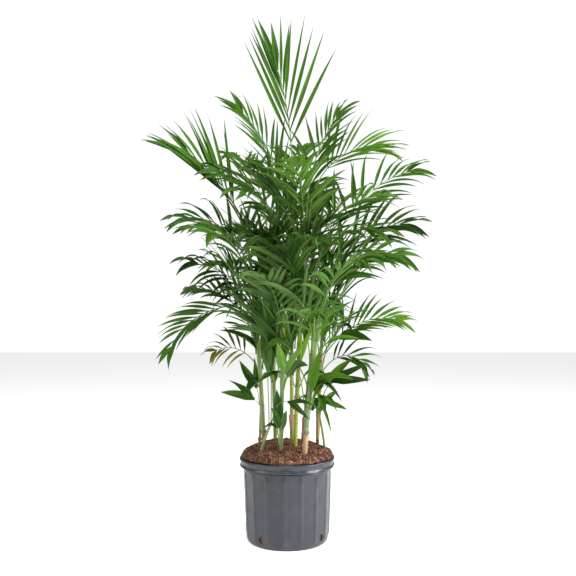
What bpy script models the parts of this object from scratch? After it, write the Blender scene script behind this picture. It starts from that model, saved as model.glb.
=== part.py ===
"""Potted bamboo palm: a clump of slender canes with feather fronds, in a ribbed nursery pot.

Units are metres. The plant's front faces -Y, +X is to the right as seen from the front, and +Z is up.
The origin is the middle of the pot's flat underside, on the ground.

Every cane is a bent tube that stands in its own socket in the potting mix. Every frond is a thin blade:
a tapering rib with leaflets fused to it, cut to the rib between them. A frond's foot lies 0.3 mm clear
of the cane that carries it. A leaflet that would touch a limb or another frond tries a few near places,
and is left out if none of them is free.
"""

import math
import random
from collections import namedtuple

import bmesh
import bpy
import numpy as np
from mathutils.bvhtree import BVHTree

# Clearance between solids that meet
GAP = 0.0003

# Pot
POT_HEIGHT = 0.229
RIM_RADIUS = 0.1300
RIM_BAND = 0.025
WALL_TOP_RADIUS = 0.1190
WALL_FOOT_RADIUS = 0.1115
FOOT_RADIUS = 0.1070
FOOT_ROUND = 0.010
WALL = 0.0028
FLOOR = 0.0040
FLUTES = 16
FLUTE_RELIEF = 0.0022
PANEL_DEGREES = 14.0
RIDGE_SLOPE_DEGREES = 2.0
DRAIN_HEIGHT = 0.0235
DRAIN_WIDTH = 0.013
DRAIN_TALL = 0.019
DRAIN_DEGREES = (232.0, 324.0, 54.0, 144.0)

# Potting mix: a mound whose top lies a little towards the back
MIX_SIDES = 32
MIX_EDGE_HEIGHT = 0.222
MIX_MOUND = ((0.90, 0.239), (0.68, 0.252), (0.36, 0.261), (0.0, 0.265))
MIX_SHIFT = 0.022
SOCKET_FLOOR = 0.216

# Canes: foot and top in plan, height of the top, radius
SOIL_LEVEL = 0.250
NODE_RING = 0.0011
RING_HEIGHTS = (0.288, 0.330)
CANE_RESOLUTION = 4
Cane = namedtuple("Cane", "x y top_x top_y top_z radius")
CANES = {
    "a": Cane(-0.077, 0.030, -0.073, 0.000, 0.36, 0.0035),
    "b": Cane(-0.066, 0.070, -0.098, 0.020, 0.74, 0.0060),
    "c": Cane(-0.070, -0.055, -0.042, -0.070, 0.33, 0.0040),
    "d": Cane(-0.034, 0.085, -0.055, 0.150, 0.80, 0.0055),
    "e": Cane(-0.017, -0.060, -0.012, -0.085, 0.53, 0.0055),
    "f": Cane(0.012, 0.025, 0.014, 0.050, 0.86, 0.0055),
    "g": Cane(0.021, -0.030, 0.050, -0.020, 0.82, 0.0060),
    "h": Cane(0.046, -0.080, 0.080, -0.110, 0.60, 0.0065),
    "i": Cane(0.044, 0.080, 0.110, 0.130, 0.76, 0.0055),
    "j": Cane(0.086, 0.070, 0.100, 0.060, 0.58, 0.0050),
    "k": Cane(0.103, 0.005, 0.086, 0.000, 0.35, 0.0035),
}

# Fronds. at: share of the cane's height where the frond leaves it. heading: degrees from +X towards +Y.
# rise: steepness in degrees where the stalk has swung clear. arch: degrees it bends down to its tip.
# length: of the whole rib. pairs: of leaflets. leaf, width: of the longest leaflet. droop: sag of a
# leaflet. roll: turn of the blade about the rib. stalk: bare share of the rib. fan: angle from leaflet
# to rib at the first pair and at the last. vee: how far the leaflets stand up out of the blade's plane.
Frond = namedtuple(
    "Frond", "name cane at heading rise arch length pairs leaf width droop roll stalk fan vee"
)
FRONDS = [
    Frond("frond_top", "f", 1.00, 140, 91, 22, 0.47, 9, 0.31, 0.015, 0.03, -50, 0.51, (29, 9), 4),
    Frond(
        "frond_upper_left_inner", "f", 0.94, 176, 82, 36, 0.40, 10, 0.18, 0.014, 0.25, -45, 0.38, (36, 16), 12
    ),
    Frond("frond_upper_left", "b", 1.00, 184, 77, 46, 0.38, 10, 0.27, 0.016, 0.15, -55, 0.50, (24, 20), 8),
    Frond("frond_left_high", "b", 0.86, 186, 82, 90, 0.31, 10, 0.17, 0.014, 0.70, -40, 0.40, (55, 20), 12),
    Frond(
        "frond_left_middle", "d", 0.50, 192, 68, 60, 0.34, 10, 0.17, 0.014, 1.10, -50, 0.42, (60, 20), 12
    ),
    Frond("frond_left_short", "b", 0.58, 172, 66, 70, 0.25, 7, 0.12, 0.015, 0.60, -30, 0.42, (50, 20), 12),
    Frond("frond_left_low", "b", 0.76, 184, -4, 66, 0.29, 10, 0.14, 0.014, 0.35, -50, 0.34, (34, 20), 12),
    Frond("frond_left_thin", "b", 0.44, 188, 50, 80, 0.14, 6, 0.10, 0.010, 0.80, -50, 0.40, (60, 30), 12),
    Frond("frond_upper_right", "g", 1.00, 15, 88, 36, 0.36, 10, 0.16, 0.014, 0.40, 40, 0.40, (40, 16), 12),
    Frond(
        "frond_upper_right_spread", "g", 0.97, 352, 90, 100, 0.37, 10, 0.20, 0.014, 0.30, 45, 0.60, (50, 20), 12
    ),
    Frond("frond_right_high", "i", 1.00, 5, 64, 48, 0.39, 10, 0.19, 0.015, 0.45, 45, 0.40, (48, 20), 12),
    Frond(
        "frond_right_middle", "i", 0.84, 352, 62, 62, 0.32, 10, 0.21, 0.015, 0.50, 50, 0.40, (50, 20), 12
    ),
    Frond(
        "frond_right_arching", "h", 1.00, 358, 72, 90, 0.30, 10, 0.17, 0.016, 0.50, 50, 0.36, (55, 20), 12
    ),
    Frond("frond_right_low", "j", 0.70, 355, 52, 66, 0.26, 9, 0.14, 0.014, 0.30, 45, 0.36, (46, 20), 12),
    Frond("frond_right_small", "j", 0.60, 345, 50, 100, 0.14, 6, 0.12, 0.013, 0.60, 40, 0.36, (55, 20), 12),
    Frond("frond_front_1", "g", 0.90, 262, 80, 70, 0.30, 7, 0.16, 0.020, 0.40, 10, 0.40, (45, 18), 12),
    Frond("frond_front_2", "f", 0.75, 235, 75, 80, 0.34, 10, 0.17, 0.015, 0.60, -20, 0.40, (50, 18), 12),
    Frond("frond_front_3", "h", 0.85, 300, 72, 80, 0.32, 10, 0.17, 0.015, 0.60, 20, 0.40, (50, 18), 12),
    Frond("frond_front_4", "e", 0.92, 250, 82, 80, 0.28, 9, 0.15, 0.016, 0.50, 0, 0.36, (48, 18), 12),
    Frond("frond_front_5", "g", 0.70, 320, 66, 80, 0.32, 10, 0.17, 0.015, 0.60, 30, 0.40, (50, 18), 12),
    Frond("frond_front_6", "b", 0.80, 240, 70, 80, 0.30, 10, 0.16, 0.015, 0.60, -20, 0.40, (50, 18), 12),
    Frond("frond_front_7", "h", 0.65, 270, 62, 80, 0.28, 9, 0.15, 0.015, 0.60, 0, 0.40, (50, 18), 12),
    Frond("frond_front_8", "f", 0.62, 285, 66, 80, 0.32, 9, 0.15, 0.015, 0.60, 0, 0.44, (50, 18), 12),
    Frond("frond_inner_left", "f", 0.82, 200, 72, 60, 0.34, 10, 0.18, 0.015, 0.50, -40, 0.40, (50, 18), 12),
    Frond("frond_inner_right", "g", 0.80, 20, 70, 60, 0.34, 10, 0.18, 0.015, 0.50, 40, 0.40, (50, 18), 12),
    Frond("frond_back_1", "f", 0.88, 80, 78, 50, 0.40, 10, 0.19, 0.016, 0.40, 0, 0.40, (48, 18), 12),
    Frond("frond_back_2", "d", 1.00, 120, 76, 55, 0.40, 10, 0.19, 0.016, 0.50, 0, 0.40, (48, 18), 12),
    Frond("frond_back_3", "d", 0.86, 60, 68, 65, 0.38, 10, 0.18, 0.016, 0.60, 0, 0.40, (50, 18), 12),
    Frond("frond_back_4", "i", 0.92, 70, 70, 60, 0.38, 10, 0.18, 0.016, 0.50, 0, 0.40, (50, 18), 12),
    Frond("frond_back_5", "i", 0.70, 45, 58, 70, 0.36, 10, 0.18, 0.016, 0.70, 0, 0.40, (50, 18), 12),
    Frond("frond_back_6", "d", 0.74, 150, 62, 65, 0.38, 10, 0.18, 0.016, 0.60, 0, 0.40, (50, 18), 12),
    Frond("frond_back_7", "d", 0.60, 100, 52, 65, 0.34, 9, 0.17, 0.016, 0.70, 0, 0.40, (50, 18), 12),
    Frond("frond_back_8", "j", 1.00, 28, 66, 70, 0.32, 9, 0.17, 0.016, 0.60, 0, 0.40, (50, 18), 12),
    Frond("frond_back_9", "b", 0.70, 120, 60, 70, 0.32, 9, 0.17, 0.016, 0.70, 0, 0.40, (50, 18), 12),
    Frond("frond_back_10", "i", 0.54, 95, 48, 60, 0.32, 9, 0.16, 0.016, 0.70, 0, 0.40, (50, 18), 12),
    Frond("young_leaf_a", "a", 1.00, 192, 60, 30, 0.03, 1, 0.105, 0.034, 0.10, -55, 0.4, (30, 30), 0),
    Frond("young_leaf_b", "b", 0.22, 150, 86, 20, 0.05, 1, 0.11, 0.030, 0.05, -50, 0.4, (12, 12), 0),
    Frond("young_leaf_b_high", "b", 0.50, 285, 84, 30, 0.08, 1, 0.15, 0.034, 0.10, 0, 0.4, (12, 12), 0),
    Frond("young_leaf_c", "c", 1.00, 322, 80, 90, 0.09, 1, 0.10, 0.026, 0.40, 30, 0.4, (14, 14), 0),
    Frond("young_leaf_d", "d", 0.22, 265, 84, 90, 0.12, 1, 0.10, 0.030, 0.50, 0, 0.4, (14, 14), 0),
    Frond("young_leaf_e", "e", 0.50, 285, 78, 30, 0.08, 1, 0.15, 0.036, 0.15, 0, 0.4, (14, 14), 0),
    Frond("young_leaf_e_left", "e", 0.74, 200, 84, 20, 0.06, 1, 0.15, 0.036, 0.05, -50, 0.4, (12, 12), 0),
    Frond("young_leaf_g", "g", 0.30, 290, 84, 20, 0.07, 1, 0.14, 0.026, 0.10, 0, 0.4, (10, 10), 0),
    Frond("young_leaf_h", "h", 0.42, 345, 50, 30, 0.07, 1, 0.12, 0.032, 0.10, 50, 0.4, (14, 14), 0),
    Frond("young_leaf_h_low", "h", 0.34, 300, 80, 100, 0.07, 1, 0.09, 0.030, 0.50, 10, 0.4, (12, 12), 0),
    Frond("young_leaf_k", "k", 1.00, 20, 70, 60, 0.03, 1, 0.07, 0.024, 0.30, 40, 0.4, (42, 42), 0),
]

# Ribs and leaflets. A rib's section is a triangle with a flat top.
RIB_STEPS = 48
SWING = 0.14
RIB_RADIUS = 0.0028
RIB_TIP_RADIUS = 0.0014
TOP_EDGE = (0.857, 0.515)
STALK_SHARES = (0.0, 0.05, 0.10, 0.15, 0.22, 0.30, 0.40, 0.50, 0.60, 0.72, 0.85)
STALK_MARGIN = 0.02
LAST_PAIR_AT = 0.985
LEAF_STEPS = 12
LEAF_OUTER_STEP = 2
LEAF_MIDDLE_STEP = 5
LEAF_CORNERS = 4
LEAF_FOOT_WIDTH = 0.40
LEAF_THICKNESS = 0.0028
LEAF_CLEARANCE = 0.0030
TIP_PAIR_WIDTH = 1.4
LIFTS_TO_TRY = (0, 6, -6, 12, -12, 18)
LENGTHS_TO_TRY = (1.0, 0.75, 0.5)

# Closed new leaf that stands on the short cane in the middle
SPEAR_LENGTH = 0.105
SPEAR_RADIUS = 0.0070

UP = np.array([0.0, 0.0, 1.0])

# A leaflet's pair number, its side of the rib, its root, the way it sets out and the way the rib runs there
Leaflet = namedtuple("Leaflet", "number side root way rib_way length width droop")

Look = namedtuple("Look", "name colour roughness")
POT_LOOK = Look("grey plastic", (0.085, 0.100, 0.125), 0.42)
MIX_LOOK = Look("coir mix", (0.190, 0.080, 0.040), 0.95)
CANE_LOOK = Look("green cane", (0.270, 0.300, 0.090), 0.55)
FROND_LOOK = Look("frond green", (0.075, 0.200, 0.035), 0.50)
YOUNG_LOOK = Look("young leaf green", (0.140, 0.300, 0.050), 0.45)


def unit(vectors):
    """The vectors at length one."""
    vectors = np.asarray(vectors, float)
    return vectors / np.linalg.norm(vectors, axis=-1, keepdims=True)


def cane_points(cane, shares):
    """Points along a cane: a curve through foot, knee and top, quadratic in the share of its height."""
    shares = np.atleast_1d(np.asarray(shares, float))[:, None]
    foot = np.array([cane.x, cane.y, SOIL_LEVEL])
    top = np.array([cane.top_x, cane.top_y, cane.top_z])
    knee = foot + 0.35 * (top - foot)
    knee[2] = (SOIL_LEVEL + cane.top_z) / 2
    return (1 - shares) ** 2 * foot + 2 * shares * (1 - shares) * knee + shares**2 * top


def cane_direction(cane, share):
    """The way a cane runs at a share of its height."""
    step = 0.0001
    return unit(cane_points(cane, share + step) - cane_points(cane, share - step))[0]


def rib_corners(side, up, radius):
    """The three corners of the rib's section about its middle: two top edges and the keel."""
    across = side * radius * TOP_EDGE[0]
    above = up * radius * TOP_EDGE[1]
    return np.array([above + across, above - across, -up * radius])


def frond_frame(frond):
    """Points along the rib, with the way it runs and the blade's sideways and upward vectors there.

    The rib starts beside the cane and parallel to it, swings out over its first seventh, and then falls
    from its rise by the arch, faster towards the tip.
    """
    cane = CANES[frond.cane]
    turn = math.radians(frond.heading)
    outward = np.array([math.cos(turn), math.sin(turn), 0.0])
    along_cane = cane_direction(cane, frond.at)
    shares = np.linspace(0, 1, RIB_STEPS + 1)
    fallen = np.clip((shares - SWING) / (1 - SWING), 0, 1) ** 1.4
    slope = np.radians(frond.rise - frond.arch * fallen)
    aim = np.cos(slope)[:, None] * outward + np.sin(slope)[:, None] * UP
    swung = np.clip(shares / SWING, 0, 1)[:, None]
    swung = swung * swung * (3 - 2 * swung)
    ways = unit((1 - swung) * along_cane + swung * aim)
    level = np.array([-outward[1], outward[0], 0.0])
    sideways = unit(level - (ways @ level)[:, None] * ways)
    upward = np.cross(ways, sideways)
    roll = math.radians(frond.roll)
    rolled_sideways = math.cos(roll) * sideways + math.sin(roll) * upward
    rolled_upward = math.cos(roll) * upward - math.sin(roll) * sideways
    start = cane_points(cane, frond.at)[0]
    if frond.at < 1:
        beside = unit(outward - (outward @ along_cane) * along_cane)
        inward_reach = -(rib_corners(rolled_sideways[0], rolled_upward[0], RIB_RADIUS) @ beside).min()
        start = start + beside * (cane.radius + GAP + inward_reach)
    else:
        start = start + along_cane * GAP
    strides = (ways[1:] + ways[:-1]) / 2 * frond.length / RIB_STEPS
    points = start + np.concatenate([np.zeros((1, 3)), np.cumsum(strides, axis=0)])
    return points, ways, rolled_sideways, rolled_upward


def along(rows, share):
    """A row read between the two nearest steps of the rib."""
    place = share * RIB_STEPS
    step = min(int(place), RIB_STEPS - 1)
    rest = place - step
    return rows[step] * (1 - rest) + rows[step + 1] * rest


def station_share(frond, number):
    """Where along the rib a pair of leaflets stands."""
    if frond.pairs == 1:
        return LAST_PAIR_AT
    return frond.stalk + (LAST_PAIR_AT - frond.stalk) * number / (frond.pairs - 1)


def leaflets_of(frond, frame):
    """Each leaflet of a frond as lists of its ways to lie: the rule's own, then higher and lower."""
    dice = random.Random(frond.name)
    points, ways, sideways, upward = frame
    for number in range(frond.pairs):
        share = number / max(frond.pairs - 1, 1)
        at = station_share(frond, number)
        for side in (1, -1):
            angle = math.radians(frond.fan[0] + (frond.fan[1] - frond.fan[0]) * share)
            lift = frond.vee * (1 - 0.5 * share) + dice.uniform(-3, 3)
            length = frond.leaf * (0.92 + 0.08 * min(1, share / 0.2)) * (1 - 0.5 * share**1.3)
            width = frond.width * (TIP_PAIR_WIDTH if number == frond.pairs - 1 > 0 else 1.0)
            droop = frond.droop * dice.uniform(0.8, 1.2)
            choices = []
            for shorter in LENGTHS_TO_TRY:
                for extra in LIFTS_TO_TRY:
                    raised = math.radians(lift + extra)
                    across = side * math.cos(raised) * along(sideways, at) + math.sin(raised) * along(upward, at)
                    way = math.cos(angle) * along(ways, at) + math.sin(angle) * across
                    root = along(points, at)
                    reach = length * shorter
                    choices.append(Leaflet(number, side, root, way, along(ways, at), reach, width, droop))
            yield choices


def leaflet_sections(leaf, steps, swell=0.0):
    """Three corners of the leaflet's section at each step, edge, edge and keel, and its tip.

    Its line starts on the rib's middle and bends down towards the tip, faster the further it is out.
    """
    shares = np.linspace(0, 1, LEAF_STEPS + 1)
    ways = unit(leaf.way - np.outer(leaf.droop * shares**1.7, UP))
    strides = (ways[1:] + ways[:-1]) / 2 * leaf.length / LEAF_STEPS
    line = leaf.root + np.concatenate([np.zeros((1, 3)), np.cumsum(strides, axis=0)])
    thickness = max(LEAF_THICKNESS, leaf.length / 100) + swell
    corners = []
    for step in steps:
        way = ways[step]
        across = unit(leaf.rib_way - (leaf.rib_way @ way) * way)
        face = np.cross(across, way) * leaf.side
        grown = min(1, LEAF_FOOT_WIDTH + (1 - LEAF_FOOT_WIDTH) * step / LEAF_MIDDLE_STEP)
        half = across * (leaf.width * grown / 2 + swell)
        upper = line[step] + face * thickness / 2
        corners += [upper - half, upper + half, line[step] - face * thickness / 2]
    return corners, line[-1] + ways[-1] * swell


def leaflet_solid(leaf, first_step, swell=0.0):
    """Vertices and faces of a leaflet by itself, from one of its steps to its tip."""
    corners, tip = leaflet_sections(leaf, (first_step, LEAF_MIDDLE_STEP), swell)
    faces = [(0, 1, 2), (0, 3, 4, 1), (1, 4, 5, 2), (2, 5, 3, 0), (3, 6, 4), (4, 6, 5), (5, 6, 3)]
    return corners + [tip], faces


def rib_rings(frond):
    """Places of the rings along the rib, each with the number of the pair that stands past it, if any."""
    half_foot = frond.width * LEAF_FOOT_WIDTH / 2 / frond.length
    first = station_share(frond, 0)
    rings = [(share, None) for share in STALK_SHARES if share < first - half_foot - STALK_MARGIN]
    for number in range(frond.pairs):
        at = station_share(frond, number)
        rings += [(at - half_foot, number), (min(at + half_foot, 1.0), None)]
    return rings


def frond_mesh(frond, frame, leaflets):
    """The whole frond as one closed mesh: rings of three corners along the rib, joined by its faces.

    Where a leaflet stands, the rib's side face is left open and the leaflet grows out of its four
    corners: two at the rib's top edge and two at its keel.
    """
    points, ways, sideways, upward = frame
    rings = rib_rings(frond)
    standing = {(leaf.number, leaf.side): leaf for leaf in leaflets}
    vertices = []
    for share, number in rings:
        radius = RIB_RADIUS + (RIB_TIP_RADIUS - RIB_RADIUS) * share
        middle, side, up = (along(rows, share) for rows in (points, sideways, upward))
        vertices += list(middle + rib_corners(side, up, radius))
    faces = [(0, 1, 2)]
    for ring, (share, number) in enumerate(rings[:-1]):
        near, far = 3 * ring, 3 * ring + 3
        faces.append((near, far, far + 1, near + 1))
        for side, edge in ((1, 0), (-1, 1)):
            foot = (near + edge, far + edge, far + 2, near + 2)
            leaf = standing.get((number, side))
            if leaf is None:
                faces.append(foot)
                continue
            corners, tip = leaflet_sections(leaf, (LEAF_MIDDLE_STEP,))
            first = len(vertices)
            faces.append((foot[0], foot[1], first + 1, first))
            faces.append((foot[1], foot[2], first + 2, first + 1))
            faces.append((foot[3], foot[0], first, first + 2))
            faces.append((foot[2], foot[3], first + 2))
            faces += [(first, first + 1, first + 3), (first + 1, first + 2, first + 3)]
            faces.append((first + 2, first, first + 3))
            vertices += corners + [tip]
    last = 3 * len(rings) - 3
    faces.append((last, last + 2, last + 1))
    return new_mesh(frond.name, vertices, faces)


def new_mesh(name, vertices, faces):
    """A mesh of triangles from its vertices and faces, turned outward."""
    mesh = bpy.data.meshes.new(name)
    mesh.from_pydata([tuple(vertex) for vertex in vertices], [], faces)
    shell = bmesh.new()
    shell.from_mesh(mesh)
    bmesh.ops.triangulate(shell, faces=shell.faces)
    bmesh.ops.recalc_face_normals(shell, faces=shell.faces)
    shell.to_mesh(mesh)
    shell.free()
    return mesh


def link(name, data, collection):
    """A new object of the given data in the collection."""
    piece = bpy.data.objects.new(name, data)
    collection.objects.link(piece)
    return piece


def evaluated_mesh(piece):
    """The mesh that the piece has once its modifiers are done; the piece itself is removed."""
    bpy.context.view_layer.update()
    depsgraph = bpy.context.evaluated_depsgraph_get()
    mesh = bpy.data.meshes.new_from_object(piece.evaluated_get(depsgraph))
    bpy.data.objects.remove(piece)
    return mesh


def tube_mesh(name, points, radii, resolution):
    """A round bar along the points, each with its own radius, with its caps welded on."""
    curve = bpy.data.curves.new(name, "CURVE")
    curve.dimensions = "3D"
    curve.bevel_depth = 1.0
    curve.bevel_resolution = resolution
    curve.use_fill_caps = True
    spline = curve.splines.new("POLY")
    spline.points.add(len(points) - 1)
    for knot, place, radius in zip(spline.points, points, radii):
        knot.co = (*place, 1.0)
        knot.radius = radius
    mesh = evaluated_mesh(link(name, curve, bpy.context.scene.collection))
    shell = bmesh.new()
    shell.from_mesh(mesh)
    bmesh.ops.remove_doubles(shell, verts=shell.verts, dist=0.00001)
    shell.to_mesh(mesh)
    shell.free()
    return mesh


def add_part(name, mesh, look, collection, round_piece=True):
    """The finished sub-part as a named object with its own material."""
    material = bpy.data.materials.new(look.name + " of " + name)
    material.use_nodes = True
    shader = material.node_tree.nodes["Principled BSDF"]
    shader.inputs["Base Color"].default_value = (*look.colour, 1.0)
    shader.inputs["Roughness"].default_value = look.roughness
    shader.inputs["Metallic"].default_value = 0.0
    mesh.materials.clear()
    mesh.materials.append(material)
    if round_piece:
        mesh.shade_smooth()
        mesh.set_sharp_from_angle(angle=math.radians(35))
    return link(name, mesh, collection)


def add_cutter(name, mesh, collection):
    """A guide solid that cuts another and is left out of the model."""
    cutter = link(name, mesh, collection)
    cutter.hide_render = True
    cutter.display_type = "WIRE"


def subtract(piece, cutters):
    """Cuts the collection of cutters out of the piece."""
    cut = piece.modifiers.new("Cut", "BOOLEAN")
    cut.operation = "DIFFERENCE"
    cut.operand_type = "COLLECTION"
    cut.collection = cutters


def turned_mesh(name, profile, steps):
    """A profile of (radius, height) points turned about the vertical axis, as one closed mesh."""
    outline = bpy.data.meshes.new(name)
    edges = [(number, number + 1) for number in range(len(profile) - 1)]
    outline.from_pydata([(radius, 0.0, height) for radius, height in profile], edges, [])
    turned = link(name, outline, bpy.context.scene.collection)
    screw = turned.modifiers.new("Turn", "SCREW")
    screw.steps = steps
    screw.render_steps = steps
    screw.use_merge_vertices = True
    screw.merge_threshold = 0.0001
    return evaluated_mesh(turned)


def inner_wall_radius(height):
    """Radius of the pot's inner wall, which widens evenly from its rounded foot to its mouth."""
    share = (height - FOOT_ROUND) / (POT_HEIGHT - FOOT_ROUND)
    foot = WALL_FOOT_RADIUS - WALL
    return foot + share * (WALL_TOP_RADIUS - foot)


def flute(mesh, low, high):
    """Raises the wall between two heights into ribs with flat panels between them."""
    period = 360.0 / FLUTES
    ridge_start = PANEL_DEGREES + RIDGE_SLOPE_DEGREES
    ridge_end = period - RIDGE_SLOPE_DEGREES
    targets = ((0.0, 0.0), (PANEL_DEGREES, 0.0), (ridge_start, FLUTE_RELIEF), (ridge_end, FLUTE_RELIEF))
    quarter = period / len(targets)
    for vertex in mesh.vertices:
        radius = math.hypot(vertex.co.x, vertex.co.y)
        if low <= vertex.co.z <= high and radius > inner_wall_radius(vertex.co.z) + WALL / 2:
            degrees = math.degrees(math.atan2(vertex.co.y, vertex.co.x)) % 360.0
            step = round(degrees / quarter)
            angle, relief = targets[step % len(targets)]
            turn = math.radians(step // len(targets) * period + angle)
            vertex.co.x = (radius + relief) * math.cos(turn)
            vertex.co.y = (radius + relief) * math.sin(turn)


def add_pot(collection, cutters):
    """A tapered pot with ribs, a plain rim band, a rounded foot and four drain holes low in its wall."""
    band_low = POT_HEIGHT - RIM_BAND
    profile = [
        (0.0, FLOOR),
        (FOOT_RADIUS - WALL, FLOOR),
        (inner_wall_radius(FOOT_ROUND), FOOT_ROUND),
        (inner_wall_radius(POT_HEIGHT), POT_HEIGHT),
        (RIM_RADIUS - 0.0015, POT_HEIGHT),
        (RIM_RADIUS, POT_HEIGHT - 0.004),
        (RIM_RADIUS - 0.0010, band_low),
        (WALL_TOP_RADIUS + 0.0015, band_low - 0.001),
        (WALL_TOP_RADIUS, band_low - 0.007),
        (WALL_FOOT_RADIUS, FOOT_ROUND),
        (FOOT_RADIUS, 0.0),
        (0.0, 0.0),
    ]
    mesh = turned_mesh("pot", profile, FLUTES * 4)
    flute(mesh, FOOT_ROUND - 0.001, band_low - 0.006)
    for number, degrees in enumerate(DRAIN_DEGREES):
        turn = math.radians(degrees)
        hole = bmesh.new()
        bmesh.ops.create_cone(hole, cap_ends=True, segments=10, radius1=0.5, radius2=0.5, depth=1.0)
        for vertex in hole.verts:
            out = WALL_FOOT_RADIUS + vertex.co.z * WALL * 4
            side = vertex.co.x * DRAIN_WIDTH
            height = DRAIN_HEIGHT + vertex.co.y * DRAIN_TALL
            vertex.co = (
                out * math.cos(turn) - side * math.sin(turn),
                out * math.sin(turn) + side * math.cos(turn),
                height,
            )
        mesh_of_hole = bpy.data.meshes.new("drain_cutter")
        hole.to_mesh(mesh_of_hole)
        hole.free()
        add_cutter("drain_cutter_" + str(number + 1), mesh_of_hole, cutters)
    pot = add_part("pot", mesh, POT_LOOK, collection)
    subtract(pot, cutters)


def add_mix(collection, cutters):
    """The mound of potting mix inside the pot, with a socket for each cane."""
    slack = GAP + 0.00015
    edge = inner_wall_radius(MIX_EDGE_HEIGHT) - slack
    floor = FLOOR + GAP
    profile = [(share * edge, height) for share, height in reversed(MIX_MOUND)]
    profile += [
        (edge, MIX_EDGE_HEIGHT),
        (inner_wall_radius(FOOT_ROUND) - slack, FOOT_ROUND + GAP),
        (FOOT_RADIUS - WALL - slack, floor),
        (0.0, floor),
    ]
    mesh = turned_mesh("potting_mix", profile, MIX_SIDES)
    for vertex in mesh.vertices:
        share = math.hypot(vertex.co.x, vertex.co.y) / edge
        if vertex.co.z > MIX_EDGE_HEIGHT + 0.001:
            vertex.co.y += MIX_SHIFT * (1 - share**2)
    mix = add_part("potting_mix", mesh, MIX_LOOK, collection)
    for letter, cane in CANES.items():
        points, radii = cane_line(cane)
        points[0] -= cane_direction(cane, 0) * GAP
        socket = tube_mesh("socket_cutter_" + letter, points[:3], radii[:3] + GAP * 1.1, CANE_RESOLUTION)
        add_cutter("socket_cutter_" + letter, socket, cutters)
    subtract(mix, cutters)


def cane_line(cane):
    """Points and radii of a cane: from its socket's floor, with a raised ring at each low node, to its tip."""
    below = (SOCKET_FLOOR - SOIL_LEVEL) / cane_direction(cane, 0)[2]
    foot = cane_points(cane, 0)[0] + cane_direction(cane, 0) * below
    stops = [(0.0, 0.0)]
    for height in RING_HEIGHTS:
        share = (height - SOIL_LEVEL) / (cane.top_z - SOIL_LEVEL)
        half = 0.003 / (cane.top_z - SOIL_LEVEL)
        if share < 0.9:
            stops += [(share - half, 0.0), (share, NODE_RING), (share + half, 0.0)]
    last = stops[-1][0]
    spans = 6 if cane.top_z > 0.5 else 2
    stops += [(last + (1 - last) * number / spans, 0.0) for number in range(1, spans + 1)]
    shares = np.array([share for share, ring in stops])
    rings = np.array([ring for share, ring in stops])
    points = np.concatenate([foot[None], cane_points(cane, shares)])
    radii = np.concatenate([[cane.radius], cane.radius + rings])
    return points, radii


def add_canes(collection):
    """The eleven canes of the clump; returns their meshes by name."""
    meshes = {}
    for letter, cane in CANES.items():
        points, radii = cane_line(cane)
        name = "cane_" + letter
        meshes[name] = tube_mesh(name, points, radii, CANE_RESOLUTION)
        add_part(name, meshes[name], CANE_LOOK, collection)
    return meshes


def add_spear(collection):
    """The closed new leaf that stands on the short middle cane; returns its mesh by name."""
    cane = CANES["e"]
    way = cane_direction(cane, 1)
    foot = cane_points(cane, 1)[0] + way * GAP
    shares = np.array([0.0, 0.25, 0.6, 1.0])
    radii = SPEAR_RADIUS * np.array([0.75, 1.0, 0.8, 0.12])
    mesh = tube_mesh("new_spear", foot + way * SPEAR_LENGTH * shares[:, None], radii, 1)
    add_part("new_spear", mesh, YOUNG_LOOK, collection)
    return {"new_spear": mesh}


Obstacle = namedtuple("Obstacle", "tree low high")
Placed = namedtuple("Placed", "owner whole outer")


def obstacle(vertices, faces):
    """A solid as a search tree with its bounding box."""
    places = np.asarray(vertices, float)
    tree = BVHTree.FromPolygons([tuple(place) for place in places], faces)
    return Obstacle(tree, places.min(axis=0), places.max(axis=0))


def placed_limb(owner, mesh):
    """A cane or rib as something that leaflets keep clear of."""
    faces = [tuple(polygon.vertices) for polygon in mesh.polygons]
    limb = obstacle([tuple(vertex.co) for vertex in mesh.vertices], faces)
    return Placed(owner, limb, None)


def touch(one, other):
    """Whether two obstacles' surfaces meet."""
    if np.any(one.low > other.high) or np.any(one.high < other.low):
        return False
    return bool(one.tree.overlap(other.tree))


def is_free(candidate, placed):
    """Whether a leaflet touches nothing; on its own frond only the parts away from the rib count."""
    for other in placed:
        if other.owner != candidate.owner:
            if touch(candidate.whole, other.whole):
                return False
        elif touch(candidate.outer, other.whole):
            return False
        elif other.outer is not None and touch(candidate.whole, other.outer):
            return False
    return True


def placed_leaflet(owner, leaf, swell=0.0):
    """A leaflet, swollen by a clearance, as something that others keep clear of."""
    whole = obstacle(*leaflet_solid(leaf, 0, swell))
    return Placed(owner, whole, obstacle(*leaflet_solid(leaf, LEAF_OUTER_STEP, swell)))


def leaflets_touching(mesh, leaf_count, owner, finished):
    """Numbers of the leaflets that touch another frond's or a limb's surface, or their own frond's."""
    own = placed_limb(owner, mesh).whole
    first_corner = len(mesh.vertices) - LEAF_CORNERS * leaf_count
    corners = [tuple(polygon.vertices) for polygon in mesh.polygons]
    pairs = [(one, ()) for other in finished if other.owner != owner and touch(own, other.whole)
             for one, _ in own.tree.overlap(other.whole.tree)]
    pairs += [(one, corners[other]) for one, other in own.tree.overlap(own.tree) if one > other]
    touching = set()
    for one, other_corners in pairs:
        if not set(corners[one]) & set(other_corners):
            last = max(corners[one] + tuple(other_corners))
            if last >= first_corner:
                touching.add((last - first_corner) // LEAF_CORNERS)
    return touching


def without_touching(frond, frame, leaflets, finished):
    """The frond's mesh, once each leaflet that still touches something is left out."""
    while True:
        mesh = frond_mesh(frond, frame, leaflets)
        touching = leaflets_touching(mesh, len(leaflets), frond.name, finished)
        if not touching:
            return mesh
        leaflets = [leaf for number, leaf in enumerate(leaflets) if number not in touching]
        bpy.data.meshes.remove(mesh)


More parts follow.
